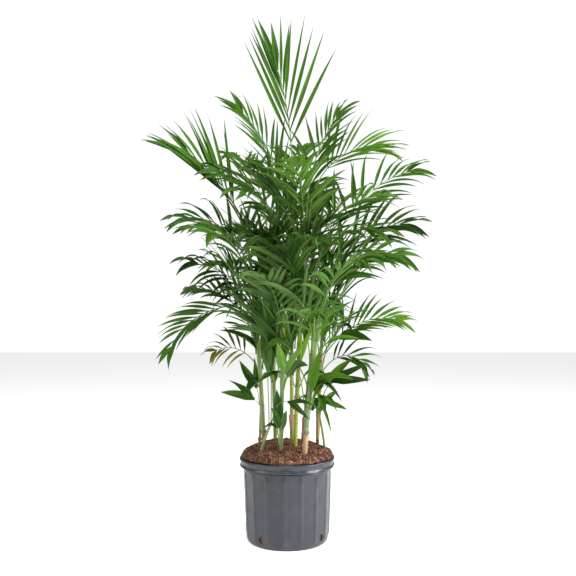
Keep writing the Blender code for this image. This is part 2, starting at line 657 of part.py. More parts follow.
def add_fronds(collection, limbs):
    """All fronds: first the bare ribs are set out, then each leaflet is placed where it is free."""
    frames = {frond.name: frond_frame(frond) for frond in FRONDS}
    finished = [placed_limb(name, mesh) for name, mesh in limbs.items()]
    for frond in FRONDS:
        bare = frond_mesh(frond, frames[frond.name], [])
        finished.append(placed_limb(frond.name, bare))
        bpy.data.meshes.remove(bare)
    placed = list(finished)
    for frond in FRONDS:
        kept = []
        for choices in leaflets_of(frond, frames[frond.name]):
            for leaf in choices:
                if is_free(placed_leaflet(frond.name, leaf, LEAF_CLEARANCE), placed):
                    placed.append(placed_leaflet(frond.name, leaf))
                    kept.append(leaf)
                    break
        mesh = without_touching(frond, frames[frond.name], kept, finished)
        finished.append(placed_limb(frond.name, mesh))
        look = YOUNG_LOOK if frond.name.startswith("young") else FROND_LOOK
        add_part(frond.name, mesh, look, collection, round_piece=False)


def main():
    """Clears the scene and builds the potted palm."""
    for piece in list(bpy.data.objects):
        bpy.data.objects.remove(piece)
    collections = []
    for name in ("Potted bamboo palm", "Drain cutters", "Socket cutters"):
        collection = bpy.data.collections.new(name)
        bpy.context.scene.collection.children.link(collection)
        collections.append(collection)
    palm, drain_cutters, socket_cutters = collections
    add_pot(palm, drain_cutters)
    add_mix(palm, socket_cutters)
    limbs = add_canes(palm)
    limbs.update(add_spear(palm))
    add_fronds(palm, limbs)


main()
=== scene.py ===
"""Finished look of a potted bamboo palm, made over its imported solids.

Units are metres. The plant's front faces -Y, +X is to the right as seen from the front, +Z is up, and the
origin is the middle of the pot's flat underside, on the ground.

Every frond grows by the rule of the solids, with more and finer leaflets. All leaflets of one green are one
mesh. Each mesh is worked out as whole arrays: a row of rings for every closed body in it.
"""

import math
import random
from collections import namedtuple

import bpy
import numpy as np
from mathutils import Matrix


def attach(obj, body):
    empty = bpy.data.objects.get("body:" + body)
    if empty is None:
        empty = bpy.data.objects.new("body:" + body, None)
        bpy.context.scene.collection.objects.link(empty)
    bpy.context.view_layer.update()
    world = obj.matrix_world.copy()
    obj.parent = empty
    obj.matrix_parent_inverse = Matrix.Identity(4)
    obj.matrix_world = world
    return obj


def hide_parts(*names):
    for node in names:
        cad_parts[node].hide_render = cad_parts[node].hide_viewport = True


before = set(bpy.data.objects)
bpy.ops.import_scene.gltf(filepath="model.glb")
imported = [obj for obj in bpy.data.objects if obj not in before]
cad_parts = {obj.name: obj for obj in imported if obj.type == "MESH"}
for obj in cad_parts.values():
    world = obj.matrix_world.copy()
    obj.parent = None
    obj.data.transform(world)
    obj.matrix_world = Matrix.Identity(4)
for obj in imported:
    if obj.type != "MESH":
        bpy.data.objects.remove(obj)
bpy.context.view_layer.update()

UP = np.array([0.0, 0.0, 1.0])
GAP = 0.0003

# Pot, as in the solids
POT_HEIGHT = 0.229
RIM_RADIUS = 0.1300
RIM_BAND = 0.025
WALL_TOP_RADIUS = 0.1190
WALL_FOOT_RADIUS = 0.1115
FOOT_RADIUS = 0.1070
FOOT_ROUND = 0.010
WALL = 0.0028
FLOOR = 0.0040
FLUTES = 16
FLUTE_RELIEF = 0.0022
PANEL_DEGREES = 14.0
RIDGE_SLOPE_DEGREES = 3.4
PANEL_HOLLOW = 0.0007
DRAIN_HEIGHT = 0.0235
DRAIN_WIDTH = 0.016
DRAIN_TALL = 0.019
DRAIN_DEGREES = (232.0, 324.0, 54.0, 144.0)

# Columns round the pot; a drain hole is cut out of 10 columns and 8 rows, and 3 columns and 2 rows
# round it are drawn towards its oval
POT_COLUMNS = 512
HOLE_COLUMNS = 5
HOLE_ROWS = 4
DRAWN_COLUMNS = 8
DRAWN_ROWS = 6

# Potting mix
MIX_RADIUS = 0.1268
MIX_INSIDE_RADIUS = 0.1172
MIX_MOUND = ((1.0, 0.2300), (0.965, 0.2365), (0.90, 0.2425), (0.78, 0.2500), (0.58, 0.2575), (0.30, 0.2625), (0.0, 0.2650))
MIX_SHIFT = 0.020

# Canes: foot and top in plan, height of the top, radius
SOIL_LEVEL = 0.250
Cane = namedtuple("Cane", "x y top_x top_y top_z radius")
CANES = {
    "a": Cane(-0.077, 0.030, -0.073, 0.000, 0.36, 0.0035),
    "b": Cane(-0.066, 0.070, -0.098, 0.020, 0.74, 0.0060),
    "c": Cane(-0.070, -0.055, -0.042, -0.070, 0.33, 0.0040),
    "d": Cane(-0.034, 0.085, -0.055, 0.150, 0.80, 0.0055),
    "e": Cane(-0.017, -0.060, -0.012, -0.085, 0.53, 0.0055),
    "f": Cane(0.012, 0.025, 0.014, 0.050, 0.86, 0.0055),
    "g": Cane(0.021, -0.030, 0.050, -0.020, 0.82, 0.0060),
    "h": Cane(0.046, -0.080, 0.080, -0.110, 0.60, 0.0065),
    "i": Cane(0.044, 0.080, 0.110, 0.130, 0.76, 0.0055),
    "j": Cane(0.086, 0.070, 0.100, 0.060, 0.58, 0.0050),
    "k": Cane(0.103, 0.005, 0.086, 0.000, 0.35, 0.0035),
}

# Fronds. at: share of the cane's height where the frond leaves it. heading: degrees from +X towards +Y.
# rise: steepness in degrees where the stalk has swung clear. arch: degrees it bends down to its tip.
# length: of the whole rib. pairs: of leaflets. leaf, width: of the longest leaflet. droop: sag of a
# leaflet. roll: turn of the blade about the rib. stalk: bare share of the rib. fan: angle from leaflet
# to rib at the first pair and at the last. vee: how far the leaflets stand up out of the blade's plane.
Frond = namedtuple(
    "Frond", "name cane at heading rise arch length pairs leaf width droop roll stalk fan vee"
)
FRONDS = [
    Frond("frond_top", "f", 1.00, 140, 91, 22, 0.47, 9, 0.31, 0.015, 0.03, -50, 0.51, (29, 9), 4),
    Frond(
        "frond_upper_left_inner", "f", 0.94, 176, 82, 36, 0.40, 10, 0.18, 0.014, 0.25, -45, 0.38, (36, 16), 12
    ),
    Frond("frond_upper_left", "b", 1.00, 184, 77, 46, 0.38, 10, 0.27, 0.016, 0.15, -55, 0.50, (24, 20), 8),
    Frond("frond_left_high", "b", 0.86, 186, 82, 90, 0.31, 10, 0.17, 0.014, 0.70, -40, 0.40, (55, 20), 12),
    Frond(
        "frond_left_middle", "d", 0.50, 192, 68, 60, 0.34, 10, 0.17, 0.014, 1.10, -50, 0.42, (60, 20), 12
    ),
    Frond("frond_left_short", "b", 0.58, 172, 66, 70, 0.25, 7, 0.12, 0.015, 0.60, -30, 0.42, (50, 20), 12),
    Frond("frond_left_low", "b", 0.76, 184, -4, 66, 0.29, 10, 0.14, 0.014, 0.35, -50, 0.34, (34, 20), 12),
    Frond("frond_left_thin", "b", 0.44, 188, 50, 80, 0.14, 6, 0.10, 0.010, 0.80, -50, 0.40, (60, 30), 12),
    Frond("frond_upper_right", "g", 1.00, 15, 88, 36, 0.36, 10, 0.16, 0.014, 0.40, 40, 0.40, (40, 16), 12),
    Frond(
        "frond_upper_right_spread", "g", 0.97, 352, 90, 100, 0.37, 10, 0.20, 0.014, 0.30, 45, 0.60, (50, 20), 12
    ),
    Frond("frond_right_high", "i", 1.00, 5, 64, 48, 0.39, 10, 0.19, 0.015, 0.45, 45, 0.40, (48, 20), 12),
    Frond(
        "frond_right_middle", "i", 0.84, 352, 62, 62, 0.32, 10, 0.21, 0.015, 0.50, 50, 0.40, (50, 20), 12
    ),
    Frond(
        "frond_right_arching", "h", 1.00, 358, 72, 90, 0.30, 10, 0.17, 0.016, 0.50, 50, 0.36, (55, 20), 12
    ),
    Frond("frond_right_low", "j", 0.70, 355, 52, 66, 0.26, 9, 0.14, 0.014, 0.30, 45, 0.36, (46, 20), 12),
    Frond("frond_right_small", "j", 0.60, 345, 50, 100, 0.14, 6, 0.12, 0.013, 0.60, 40, 0.36, (55, 20), 12),
    Frond("frond_front_1", "g", 0.90, 262, 80, 70, 0.30, 7, 0.16, 0.020, 0.40, 10, 0.40, (45, 18), 12),
    Frond("frond_front_2", "f", 0.75, 235, 75, 80, 0.34, 10, 0.17, 0.015, 0.60, -20, 0.40, (50, 18), 12),
    Frond("frond_front_3", "h", 0.85, 300, 72, 80, 0.32, 10, 0.17, 0.015, 0.60, 20, 0.40, (50, 18), 12),
    Frond("frond_front_4", "e", 0.92, 250, 82, 80, 0.28, 9, 0.15, 0.016, 0.50, 0, 0.36, (48, 18), 12),
    Frond("frond_front_5", "g", 0.70, 320, 66, 80, 0.32, 10, 0.17, 0.015, 0.60, 30, 0.40, (50, 18), 12),
    Frond("frond_front_6", "b", 0.80, 240, 70, 80, 0.30, 10, 0.16, 0.015, 0.60, -20, 0.40, (50, 18), 12),
    Frond("frond_front_7", "h", 0.65, 270, 62, 80, 0.28, 9, 0.15, 0.015, 0.60, 0, 0.40, (50, 18), 12),
    Frond("frond_front_8", "f", 0.62, 285, 66, 80, 0.32, 9, 0.15, 0.015, 0.60, 0, 0.44, (50, 18), 12),
    Frond("frond_inner_left", "f", 0.82, 200, 72, 60, 0.34, 10, 0.18, 0.015, 0.50, -40, 0.40, (50, 18), 12),
    Frond("frond_inner_right", "g", 0.80, 20, 70, 60, 0.34, 10, 0.18, 0.015, 0.50, 40, 0.40, (50, 18), 12),
    Frond("frond_back_1", "f", 0.88, 80, 78, 50, 0.40, 10, 0.19, 0.016, 0.40, 0, 0.40, (48, 18), 12),
    Frond("frond_back_2", "d", 1.00, 120, 76, 55, 0.40, 10, 0.19, 0.016, 0.50, 0, 0.40, (48, 18), 12),
    Frond("frond_back_3", "d", 0.86, 60, 68, 65, 0.38, 10, 0.18, 0.016, 0.60, 0, 0.40, (50, 18), 12),
    Frond("frond_back_4", "i", 0.92, 70, 70, 60, 0.38, 10, 0.18, 0.016, 0.50, 0, 0.40, (50, 18), 12),
    Frond("frond_back_5", "i", 0.70, 45, 58, 70, 0.36, 10, 0.18, 0.016, 0.70, 0, 0.40, (50, 18), 12),
    Frond("frond_back_6", "d", 0.74, 150, 62, 65, 0.38, 10, 0.18, 0.016, 0.60, 0, 0.40, (50, 18), 12),
    Frond("frond_back_7", "d", 0.60, 100, 52, 65, 0.34, 9, 0.17, 0.016, 0.70, 0, 0.40, (50, 18), 12),
    Frond("frond_back_8", "j", 1.00, 28, 66, 70, 0.32, 9, 0.17, 0.016, 0.60, 0, 0.40, (50, 18), 12),
    Frond("frond_back_9", "b", 0.70, 120, 60, 70, 0.32, 9, 0.17, 0.016, 0.70, 0, 0.40, (50, 18), 12),
    Frond("frond_back_10", "i", 0.54, 95, 48, 60, 0.32, 9, 0.16, 0.016, 0.70, 0, 0.40, (50, 18), 12),
    Frond("young_leaf_a", "a", 1.00, 192, 60, 30, 0.03, 1, 0.105, 0.036, 0.10, -55, 0.4, (12, 12), 0),
    Frond("young_leaf_b", "b", 0.22, 150, 86, 20, 0.05, 1, 0.11, 0.030, 0.05, -50, 0.4, (12, 12), 0),
    Frond("young_leaf_b_high", "b", 0.50, 285, 84, 30, 0.08, 1, 0.15, 0.034, 0.10, 0, 0.4, (12, 12), 0),
    Frond("young_leaf_c", "c", 1.00, 322, 80, 90, 0.09, 1, 0.10, 0.026, 0.40, 30, 0.4, (14, 14), 0),
    Frond("young_leaf_d", "d", 0.22, 265, 84, 90, 0.12, 1, 0.10, 0.030, 0.50, 0, 0.4, (14, 14), 0),
    Frond("young_leaf_e", "e", 0.50, 285, 78, 30, 0.08, 1, 0.15, 0.036, 0.15, 0, 0.4, (14, 14), 0),
    Frond("young_leaf_e_left", "e", 0.74, 200, 84, 20, 0.06, 1, 0.15, 0.036, 0.05, -50, 0.4, (12, 12), 0),
    Frond("young_leaf_g", "g", 0.30, 290, 84, 20, 0.07, 1, 0.14, 0.026, 0.10, 0, 0.4, (10, 10), 0),
    Frond("young_leaf_h", "h", 0.42, 345, 50, 30, 0.07, 1, 0.12, 0.032, 0.10, 50, 0.4, (14, 14), 0),
    Frond("young_leaf_h_low", "h", 0.34, 300, 80, 100, 0.07, 1, 0.09, 0.030, 0.50, 10, 0.4, (12, 12), 0),
    Frond("young_leaf_k", "k", 1.00, 20, 70, 60, 0.03, 1, 0.07, 0.024, 0.30, 40, 0.4, (35, 35), 0),
]

# Dry sheaths left on the canes, as spans of height
DRY_SHEATHS = {
    "a": ((0.255, 0.275),),
    "b": ((0.262, 0.292),),
    "f": ((0.300, 0.345),),
    "g": ((0.350, 0.410),),
    "h": ((0.250, 0.318),),
    "i": ((0.265, 0.330),),
    "j": ((0.262, 0.360), (0.380, 0.430)),
}

# Dents in the pot's rim: degrees round it, height, half-width in degrees, depth
RIM_DENTS = (
    (274.0, 0.210, 3.0, 0.0030),
    (266.0, 0.217, 6.0, 0.0020),
    (262.0, 0.208, 2.5, 0.0020),
    (285.0, 0.214, 4.0, 0.0018),
    (310.0, 0.222, 6.0, 0.0030),
    (150.0, 0.212, 5.0, 0.0020),
    (40.0, 0.216, 7.0, 0.0022),
)

# How a frond is dressed where the plain rule is too even: pairs of leaflets; how much longer they are; their
# angles to the rib, at its foot and its tip, on the first side and on the second; the sag on each; and how
# much shorter the last leaflets are. Fronds that aren't named here keep the solids' own values.
Dress = namedtuple("Dress", "pairs longer first_fan second_fan first_droop second_droop shrink")
DRESSES = {
    "frond_top": Dress(8, 1.12, (17, 5), (31, 8), 0.03, 0.02, 0.50),
}

# Inner fronds: cane, height of the lowest foot and of the highest, and how many
INNER = (
    ("b", 0.46, 0.72, 7),
    ("d", 0.48, 0.78, 8),
    ("e", 0.38, 0.52, 5),
    ("f", 0.48, 0.80, 9),
    ("g", 0.46, 0.78, 9),
    ("h", 0.42, 0.58, 6),
    ("i", 0.46, 0.74, 8),
    ("j", 0.42, 0.56, 5),
)

# How far the inner leaves reach from the middle, by height
CROWN = ((0.36, 0.10), (0.45, 0.15), (0.60, 0.21), (0.80, 0.24), (0.95, 0.22), (1.08, 0.15), (1.18, 0.08))

# Single broad leaves. height: of the foot on the cane. tip: where the leaf ends. lift: how far its line is
# drawn upwards. stalk: bare share. looks: the heading and the height in degrees that its face is turned to.
BLADE_STEPS = 22
Blade = namedtuple("Blade", "cane height tip lift stalk width looks green")
# The leaves given the darker shade green sit deep in the crown: that green is painted shade.
BLADES = [
    Blade("e", 0.300, (-0.001, -0.090, 0.628), 0.05, 0.60, 0.024, (270, 0), "lime"),
    Blade("c", 0.325, (-0.060, -0.085, 0.668), 0.05, 0.42, 0.046, (285, 10), "grey"),
    Blade("c", 0.322, (-0.040, -0.080, 0.640), 0.05, 0.45, 0.036, (240, 10), "shade"),
    Blade("d", 0.380, (-0.028, 0.020, 0.655), 0.05, 0.45, 0.040, (270, 0), "deep"),
    Blade("h", 0.360, (-0.064, -0.130, 0.515), 0.22, 0.42, 0.036, (270, 55), "mid"),
    Blade("e", 0.420, (0.054, -0.120, 0.485), 0.06, 0.20, 0.040, (280, 30), "grey"),
    Blade("h", 0.385, (0.086, -0.130, 0.528), 0.04, 0.10, 0.032, (250, 5), "fresh"),
    Blade("h", 0.370, (0.168, -0.150, 0.452), 0.09, 0.08, 0.042, (270, 50), "fresh"),
    Blade("h", 0.375, (0.138, -0.165, 0.398), 0.11, 0.12, 0.022, (270, 60), "deep"),
    Blade("g", 0.420, (0.118, -0.110, 0.448), 0.07, 0.10, 0.016, (270, 60), "mid"),
    Blade("j", 0.360, (0.178, -0.020, 0.496), 0.05, 0.28, 0.030, (265, 25), "fresh"),
    Blade("g", 0.380, (0.082, -0.110, 0.362), 0.045, 0.08, 0.017, (270, 50), "fresh"),
    Blade("j", 0.345, (0.130, -0.020, 0.374), 0.035, 0.18, 0.030, (270, 30), "deep"),
    Blade("i", 0.330, (0.108, 0.030, 0.366), 0.035, 0.10, 0.040, (270, 20), "deep"),
    Blade("k", 0.340, (0.092, -0.004, 0.392), 0.01, 0.10, 0.019, (270, 0), "grey"),
    Blade("k", 0.350, (0.121, -0.020, 0.290), 0.05, 0.10, 0.012, (270, 40), "mid"),
    Blade("b", 0.410, (-0.118, 0.040, 0.385), 0.05, 0.10, 0.030, (270, 40), "deep"),
    Blade("d", 0.420, (-0.184, -0.020, 0.574), 0.10, 0.10, 0.040, (280, 50), "mid"),
    Blade("g", 0.420, (-0.096, -0.120, 0.425), 0.08, 0.15, 0.017, (270, 60), "mid"),
    Blade("e", 0.270, (-0.028, -0.085, 0.420), 0.05, 0.22, 0.030, (270, 0), "deep"),
    Blade("e", 0.270, (-0.042, -0.088, 0.372), 0.05, 0.25, 0.024, (300, 10), "mid"),
    Blade("e", 0.270, (0.000, -0.090, 0.365), 0.05, 0.25, 0.020, (250, 10), "grey"),
    Blade("e", 0.285, (-0.062, -0.098, 0.318), 0.050, 0.25, 0.016, (270, 60), "deep"),
    Blade("h", 0.500, (0.058, -0.080, 0.690), 0.08, 0.40, 0.034, (290, 0), "deep"),
    Blade("h", 0.450, (0.134, -0.095, 0.642), 0.08, 0.42, 0.030, (250, 10), "fresh"),
    Blade("j", 0.550, (0.156, -0.030, 0.580), 0.18, 0.42, 0.036, (270, 20), "grey"),
    Blade("j", 0.500, (0.132, -0.030, 0.602), 0.14, 0.42, 0.034, (290, 20), "shade"),
    Blade("h", 0.500, (0.192, -0.060, 0.552), 0.06, 0.30, 0.018, (270, 40), "fresh"),
    Blade("j", 0.500, (0.230, -0.030, 0.545), 0.07, 0.40, 0.040, (270, 30), "mid"),
    Blade("g", 0.470, (0.072, -0.080, 0.650), 0.06, 0.35, 0.028, (270, 0), "mid"),
    Blade("f", 0.450, (0.020, -0.030, 0.660), 0.06, 0.35, 0.030, (270, 0), "shade"),
    Blade("i", 0.440, (0.096, 0.040, 0.640), 0.06, 0.35, 0.032, (270, 0), "shade"),
    Blade("b", 0.450, (-0.098, -0.020, 0.650), 0.06, 0.35, 0.030, (280, 0), "shade"),
]

# Ribs, as in the solids, and the rings that a rib and a leaflet are made of here
RIB_STEPS = 48
SWING = 0.14
RIB_RADIUS = 0.0028
TOP_EDGE = (0.857, 0.515)
LAST_PAIR_AT = 0.985
TIP_PAIR_WIDTH = 1.4
LEAF_STEPS = 10
LEAF_ACROSS = np.array([-1.0, -0.5, 0.0, 0.5, 1.0, 0.0])
LEAF_ABOVE = np.array([0.0, 1.0, 1.0, 1.0, 0.0, -1.0])
LEAF_BELOW = (4, 5)
LEAF_FOLD_DEGREES = 30.0
LEAF_THICKNESS = 0.0006
FINER = 1.1

# Greens, dealt out by frond: linear colours of a leaflet's top in light and dark patches. The shade green is painted
# shade: a darker green for leaves inside the crown, where shade falls.
GREENS = {
    "deep": ((0.026, 0.085, 0.008), (0.012, 0.045, 0.004)),
    "mid": ((0.052, 0.150, 0.010), (0.026, 0.088, 0.005)),
    "fresh": ((0.095, 0.230, 0.012), (0.052, 0.150, 0.008)),
    "grey": ((0.085, 0.175, 0.040), (0.045, 0.110, 0.022)),
    # Painted shade: darker than mid, for the leaves inside the crown
    "shade": ((0.036, 0.105, 0.008), (0.016, 0.056, 0.004)),
    "lime": ((0.200, 0.400, 0.010), (0.120, 0.290, 0.008)),
    "yellowing": ((0.260, 0.230, 0.030), (0.130, 0.120, 0.018)),
}
FROND_GREENS = {
    "frond_top": "mid",
    "frond_upper_left_inner": "mid",
    "frond_upper_left": "mid",
    "frond_left_high": "mid",
    "frond_left_middle": "deep",
    "frond_left_short": "grey",
    "frond_left_low": "mid",
    "frond_left_thin": "yellowing",
    "frond_upper_right": "mid",
    "frond_upper_right_spread": "fresh",
    "frond_right_high": "mid",
    "frond_right_middle": "deep",
    "frond_right_arching": "mid",
    "frond_right_low": "fresh",
    "frond_right_small": "mid",
    "frond_front_1": "fresh",
    "frond_front_4": "grey",
    "young_leaf_a": "mid",
    "young_leaf_b": "mid",
    "young_leaf_b_high": "grey",
    "young_leaf_c": "deep",
    "young_leaf_d": "mid",
    "young_leaf_e": "fresh",
    "young_leaf_e_left": "grey",
    "young_leaf_g": "lime",
    "young_leaf_h": "deep",
    "young_leaf_h_low": "mid",
    "young_leaf_k": "mid",
}
# Inner fronds take the darker shade green most often: painted shade for the inside of the crown.
INNER_GREENS = ("shade", "mid", "shade", "deep", "mid", "shade", "grey")
CANE_KINDS = {
    "a": "grey", "b": "green", "c": "grey", "d": "green", "e": "grey", "f": "green",
    "g": "green", "h": "grey", "i": "brown", "j": "brown", "k": "green",
}


def unit(vectors):
    """The vectors at length one."""
    vectors = np.asarray(vectors, float)
    return vectors / np.linalg.norm(vectors, axis=-1, keepdims=True)


def smooth(values):
    """An S-curve from 0 to 1 over the values from 0 to 1, flat beyond them."""
    values = np.clip(values, 0, 1)
    return values * values * (3 - 2 * values)


def noise(points, cell, seed):
    """Smooth random values from -1 to 1: each is blended by an S-curve between the eight nearest points of
    a cubic lattice with cells of the given size, whose own values come from a whole-number hash."""
    places = np.asarray(points, float) / cell
    low = np.floor(places).astype(np.int64)
    share = smooth(places - low)
    total = np.zeros(places.shape[:-1])
    for corner in np.ndindex(2, 2, 2):
        mixed = ((low + corner) * (73856093, 19349663, 83492791)).sum(axis=-1) + seed * 7919
        mixed = (mixed ^ (mixed >> 13)) * 1274126177
        value = ((mixed ^ (mixed >> 16)) & 65535) / 32767.5 - 1
        total += value * np.where(np.array(corner) == 1, share, 1 - share).prod(axis=-1)
    return total


def cane_points(cane, shares):
    """Points along a cane: a curve through foot, knee and top, quadratic in the share of its height."""
    shares = np.atleast_1d(np.asarray(shares, float))[:, None]
    foot = np.array([cane.x, cane.y, SOIL_LEVEL])
    top = np.array([cane.top_x, cane.top_y, cane.top_z])
    knee = foot + 0.35 * (top - foot)
    knee[2] = (SOIL_LEVEL + cane.top_z) / 2
    return (1 - shares) ** 2 * foot + 2 * shares * (1 - shares) * knee + shares**2 * top


def cane_direction(cane, share):
    """The way a cane runs at a share of its height."""
    step = 0.0001
    return unit(cane_points(cane, share + step) - cane_points(cane, share - step))[0]


def rib_corners(side, up, radius):
    """The three corners of the solid rib's section about its middle: two top edges and the keel."""
    across = side * radius * TOP_EDGE[0]
    above = up * radius * TOP_EDGE[1]
    return np.array([above + across, above - across, -up * radius])


def frond_frame(frond):
    """Points along the rib, with the way it runs and the blade's sideways and upward vectors there.

    The rib starts beside the cane and parallel to it, swings out over its first seventh, and then falls
    from its rise by the arch, faster towards the tip.
    """
    cane = CANES[frond.cane]
    turn = math.radians(frond.heading)
    outward = np.array([math.cos(turn), math.sin(turn), 0.0])
    along_cane = cane_direction(cane, frond.at)
    shares = np.linspace(0, 1, RIB_STEPS + 1)
    fallen = np.clip((shares - SWING) / (1 - SWING), 0, 1) ** 1.4
    slope = np.radians(frond.rise - frond.arch * fallen)
    aim = np.cos(slope)[:, None] * outward + np.sin(slope)[:, None] * UP
    swung = smooth(shares / SWING)[:, None]
    ways = unit((1 - swung) * along_cane + swung * aim)
    level = np.array([-outward[1], outward[0], 0.0])
    sideways = unit(level - (ways @ level)[:, None] * ways)
    upward = np.cross(ways, sideways)
    roll = math.radians(frond.roll)
    rolled_sideways = math.cos(roll) * sideways + math.sin(roll) * upward
    rolled_upward = math.cos(roll) * upward - math.sin(roll) * sideways
    start = cane_points(cane, frond.at)[0]
    if frond.at < 1:
        beside = unit(outward - (outward @ along_cane) * along_cane)
        inward_reach = -(rib_corners(rolled_sideways[0], rolled_upward[0], RIB_RADIUS) @ beside).min()
        start = start + beside * (cane.radius + GAP + inward_reach)
    else:
        start = start + along_cane * GAP
    strides = (ways[1:] + ways[:-1]) / 2 * frond.length / RIB_STEPS
    points = start + np.concatenate([np.zeros((1, 3)), np.cumsum(strides, axis=0)])
    return points, ways, rolled_sideways, rolled_upward


def along(rows, share):
    """A row read between the two nearest steps of the rib."""
    place = share * RIB_STEPS
    step = min(int(place), RIB_STEPS - 1)
    rest = place - step
    return rows[step] * (1 - rest) + rows[step + 1] * rest


Leaflet = namedtuple("Leaflet", "root way rib_way side length width droop bow twist phase")


def leaflets_of(frond, frame_of_rib, tangle=1.0):
    """The leaflets of a frond by the rule of the solids, each a little unlike the next.

    Tangle is how far they differ: 1 on the fronds that draw the crown's outline, more inside it.
    """
    dice = random.Random(frond.name)
    points, ways, sideways, upward = frame_of_rib
    plain = Dress(round(frond.pairs * FINER) if frond.pairs > 5 else frond.pairs, 1.0, frond.fan, frond.fan,
                  frond.droop, frond.droop, 0.5)
    dress = DRESSES.get(frond.name, plain)
    pairs = dress.pairs
    leaflets = []
    for number in range(pairs):
        share = number / max(pairs - 1, 1)
        base = frond.stalk + (LAST_PAIR_AT - frond.stalk) * share if pairs > 1 else LAST_PAIR_AT
        for side in (1, -1):
            last = number == pairs - 1
            at = base if last else min(base + side * 0.006 + dice.uniform(-0.012, 0.012), LAST_PAIR_AT)
            fan = dress.first_fan if side > 0 else dress.second_fan
            angle = fan[0] + (fan[1] - fan[0]) * share + tangle * dice.uniform(-4, 4)
            angle = math.radians(max(angle, 4))
            raised = math.radians(frond.vee * (1 - 0.5 * share) + tangle * dice.uniform(-9, 9))
            length = frond.leaf * dress.longer * (0.92 + 0.08 * min(1, share / 0.2))
            length *= (1 - dress.shrink * share**1.3) * dice.uniform(0.88, 1.05)
            width = frond.width * (TIP_PAIR_WIDTH if last and pairs > 1 else dice.uniform(0.72, 0.95))
            droop = dress.first_droop if side > 0 else dress.second_droop
            droop *= dice.uniform(1 - 0.35 * tangle, 1 + 0.45 * tangle)
            across = side * math.cos(raised) * along(sideways, at) + math.sin(raised) * along(upward, at)
            way = math.cos(angle) * along(ways, at) + math.sin(angle) * across
            bow = dice.uniform(-0.15, 0.18) * tangle
            twist = dice.uniform(-0.7, 0.7) * tangle
            phase = dice.uniform(0, 6.28)
            if pairs > 1 and not last and dice.random() < 0.07 * tangle:
                continue
            leaflets.append(
                Leaflet(along(points, at), way, along(ways, at), side, length, width, droop, bow, twist, phase)
            )
    return leaflets


def leaf_rings(line, ways, level, half, phase):
    """Rings of six corners along leaves: over the top from edge to edge, and back below the middle.

    line holds each leaf's points, level the vector across it there, and half its half-width. Its halves
    stand up in a V and bulge a little, and its edges ripple by a sine along it.
    """
    shares = np.linspace(0, 1, line.shape[1])
    face = np.cross(level, ways)
    fold = math.radians(LEAF_FOLD_DEGREES)
    ripple = 0.10 * np.sin(9 * shares + phase[:, None]) * smooth(shares / 0.3)
    edge = np.abs(LEAF_ACROSS)
    sideways = half[..., None] * LEAF_ACROSS * math.cos(fold)
    rise = math.sin(fold) * edge + 0.30 * edge * (1 - edge) + ripple[..., None] * LEAF_ACROSS
    thin = np.clip(half / half.max(axis=1, keepdims=True), 0.3, 1)[..., None]
    height = half[..., None] * rise + LEAF_THICKNESS / 2 * LEAF_ABOVE * (1 - 0.6 * edge) * thin
    return line[:, :, None] + level[:, :, None] * sideways[..., None] + face[:, :, None] * height[..., None]


def leaflet_rings(leaflets):
    """The rings of leaflets.

    A leaflet's line sets out from the rib, bends down with its share to the power 1.7, and hangs at its
    tip. Its half-width rises from a narrow foot to full at a third, then falls to a fine tip, and it
    twists evenly along.
    """
    columns = zip(*leaflets)
    root, way, rib_way, side, length, width, droop, bow, twist, phase = map(np.array, columns)
    shares = np.linspace(0, 1, LEAF_STEPS + 1)
    fallen = (droop[:, None] * (shares**1.7 + 0.4 * shares**5))[..., None] * UP
    bent = (bow[:, None] * shares**1.5)[..., None] * rib_way[:, None]
    ways = unit(way[:, None] - fallen - bent)
    strides = (ways[:, 1:] + ways[:, :-1]) / 2 * (length / LEAF_STEPS)[:, None, None]
    line = root[:, None] + np.concatenate([np.zeros((len(root), 1, 3)), np.cumsum(strides, axis=1)], axis=1)
    level = rib_way[:, None] - (rib_way[:, None] * ways).sum(axis=-1, keepdims=True) * ways
    level = unit(level) * side[:, None, None]
    face = np.cross(level, ways)
    turn = (twist[:, None] * shares)[..., None]
    level = np.cos(turn) * level + np.sin(turn) * face
    swelling = 0.26 + 0.74 * smooth(shares / 0.34)
    tapering = np.maximum(1 - np.clip((shares - 0.32) / 0.68, 0, 1) ** 1.8, 0.02)
    half = width[:, None] / 2 * swelling * tapering
    return leaf_rings(line, ways, level, half, phase)


def crown_radius(height):
    """How far from the middle the inner leaves may reach at a height."""
    heights, radii = zip(*CROWN)
    return np.interp(height, heights, radii)


def inner_fronds():
    """The fronds between the named ones: up each cane, each turned by the golden angle from the last."""
    dice = random.Random("inner fronds")
    fronds = []
    for letter, low, high, count in INNER:
        cane = CANES[letter]
        turned = dice.uniform(0, 360)
        for number in range(count):
            height = low + (high - low) * number / max(count - 1, 1)
            at = min((height - SOIL_LEVEL) / (cane.top_z - SOIL_LEVEL), 0.99)
            turned += 137.5
            fronds.append(
                Frond(
                    f"inner_{letter}_{number}", letter, at, turned, dice.uniform(58, 86), dice.uniform(15, 75),
                    dice.uniform(0.18, 0.28), dice.choice((7, 8, 9)), dice.uniform(0.17, 0.24),
                    dice.uniform(0.011, 0.015), dice.uniform(0.05, 0.7), dice.uniform(-40, 40),
                    dice.uniform(0.34, 0.48), (dice.uniform(24, 44), dice.uniform(8, 16)), 10,
                )
            )
    return fronds


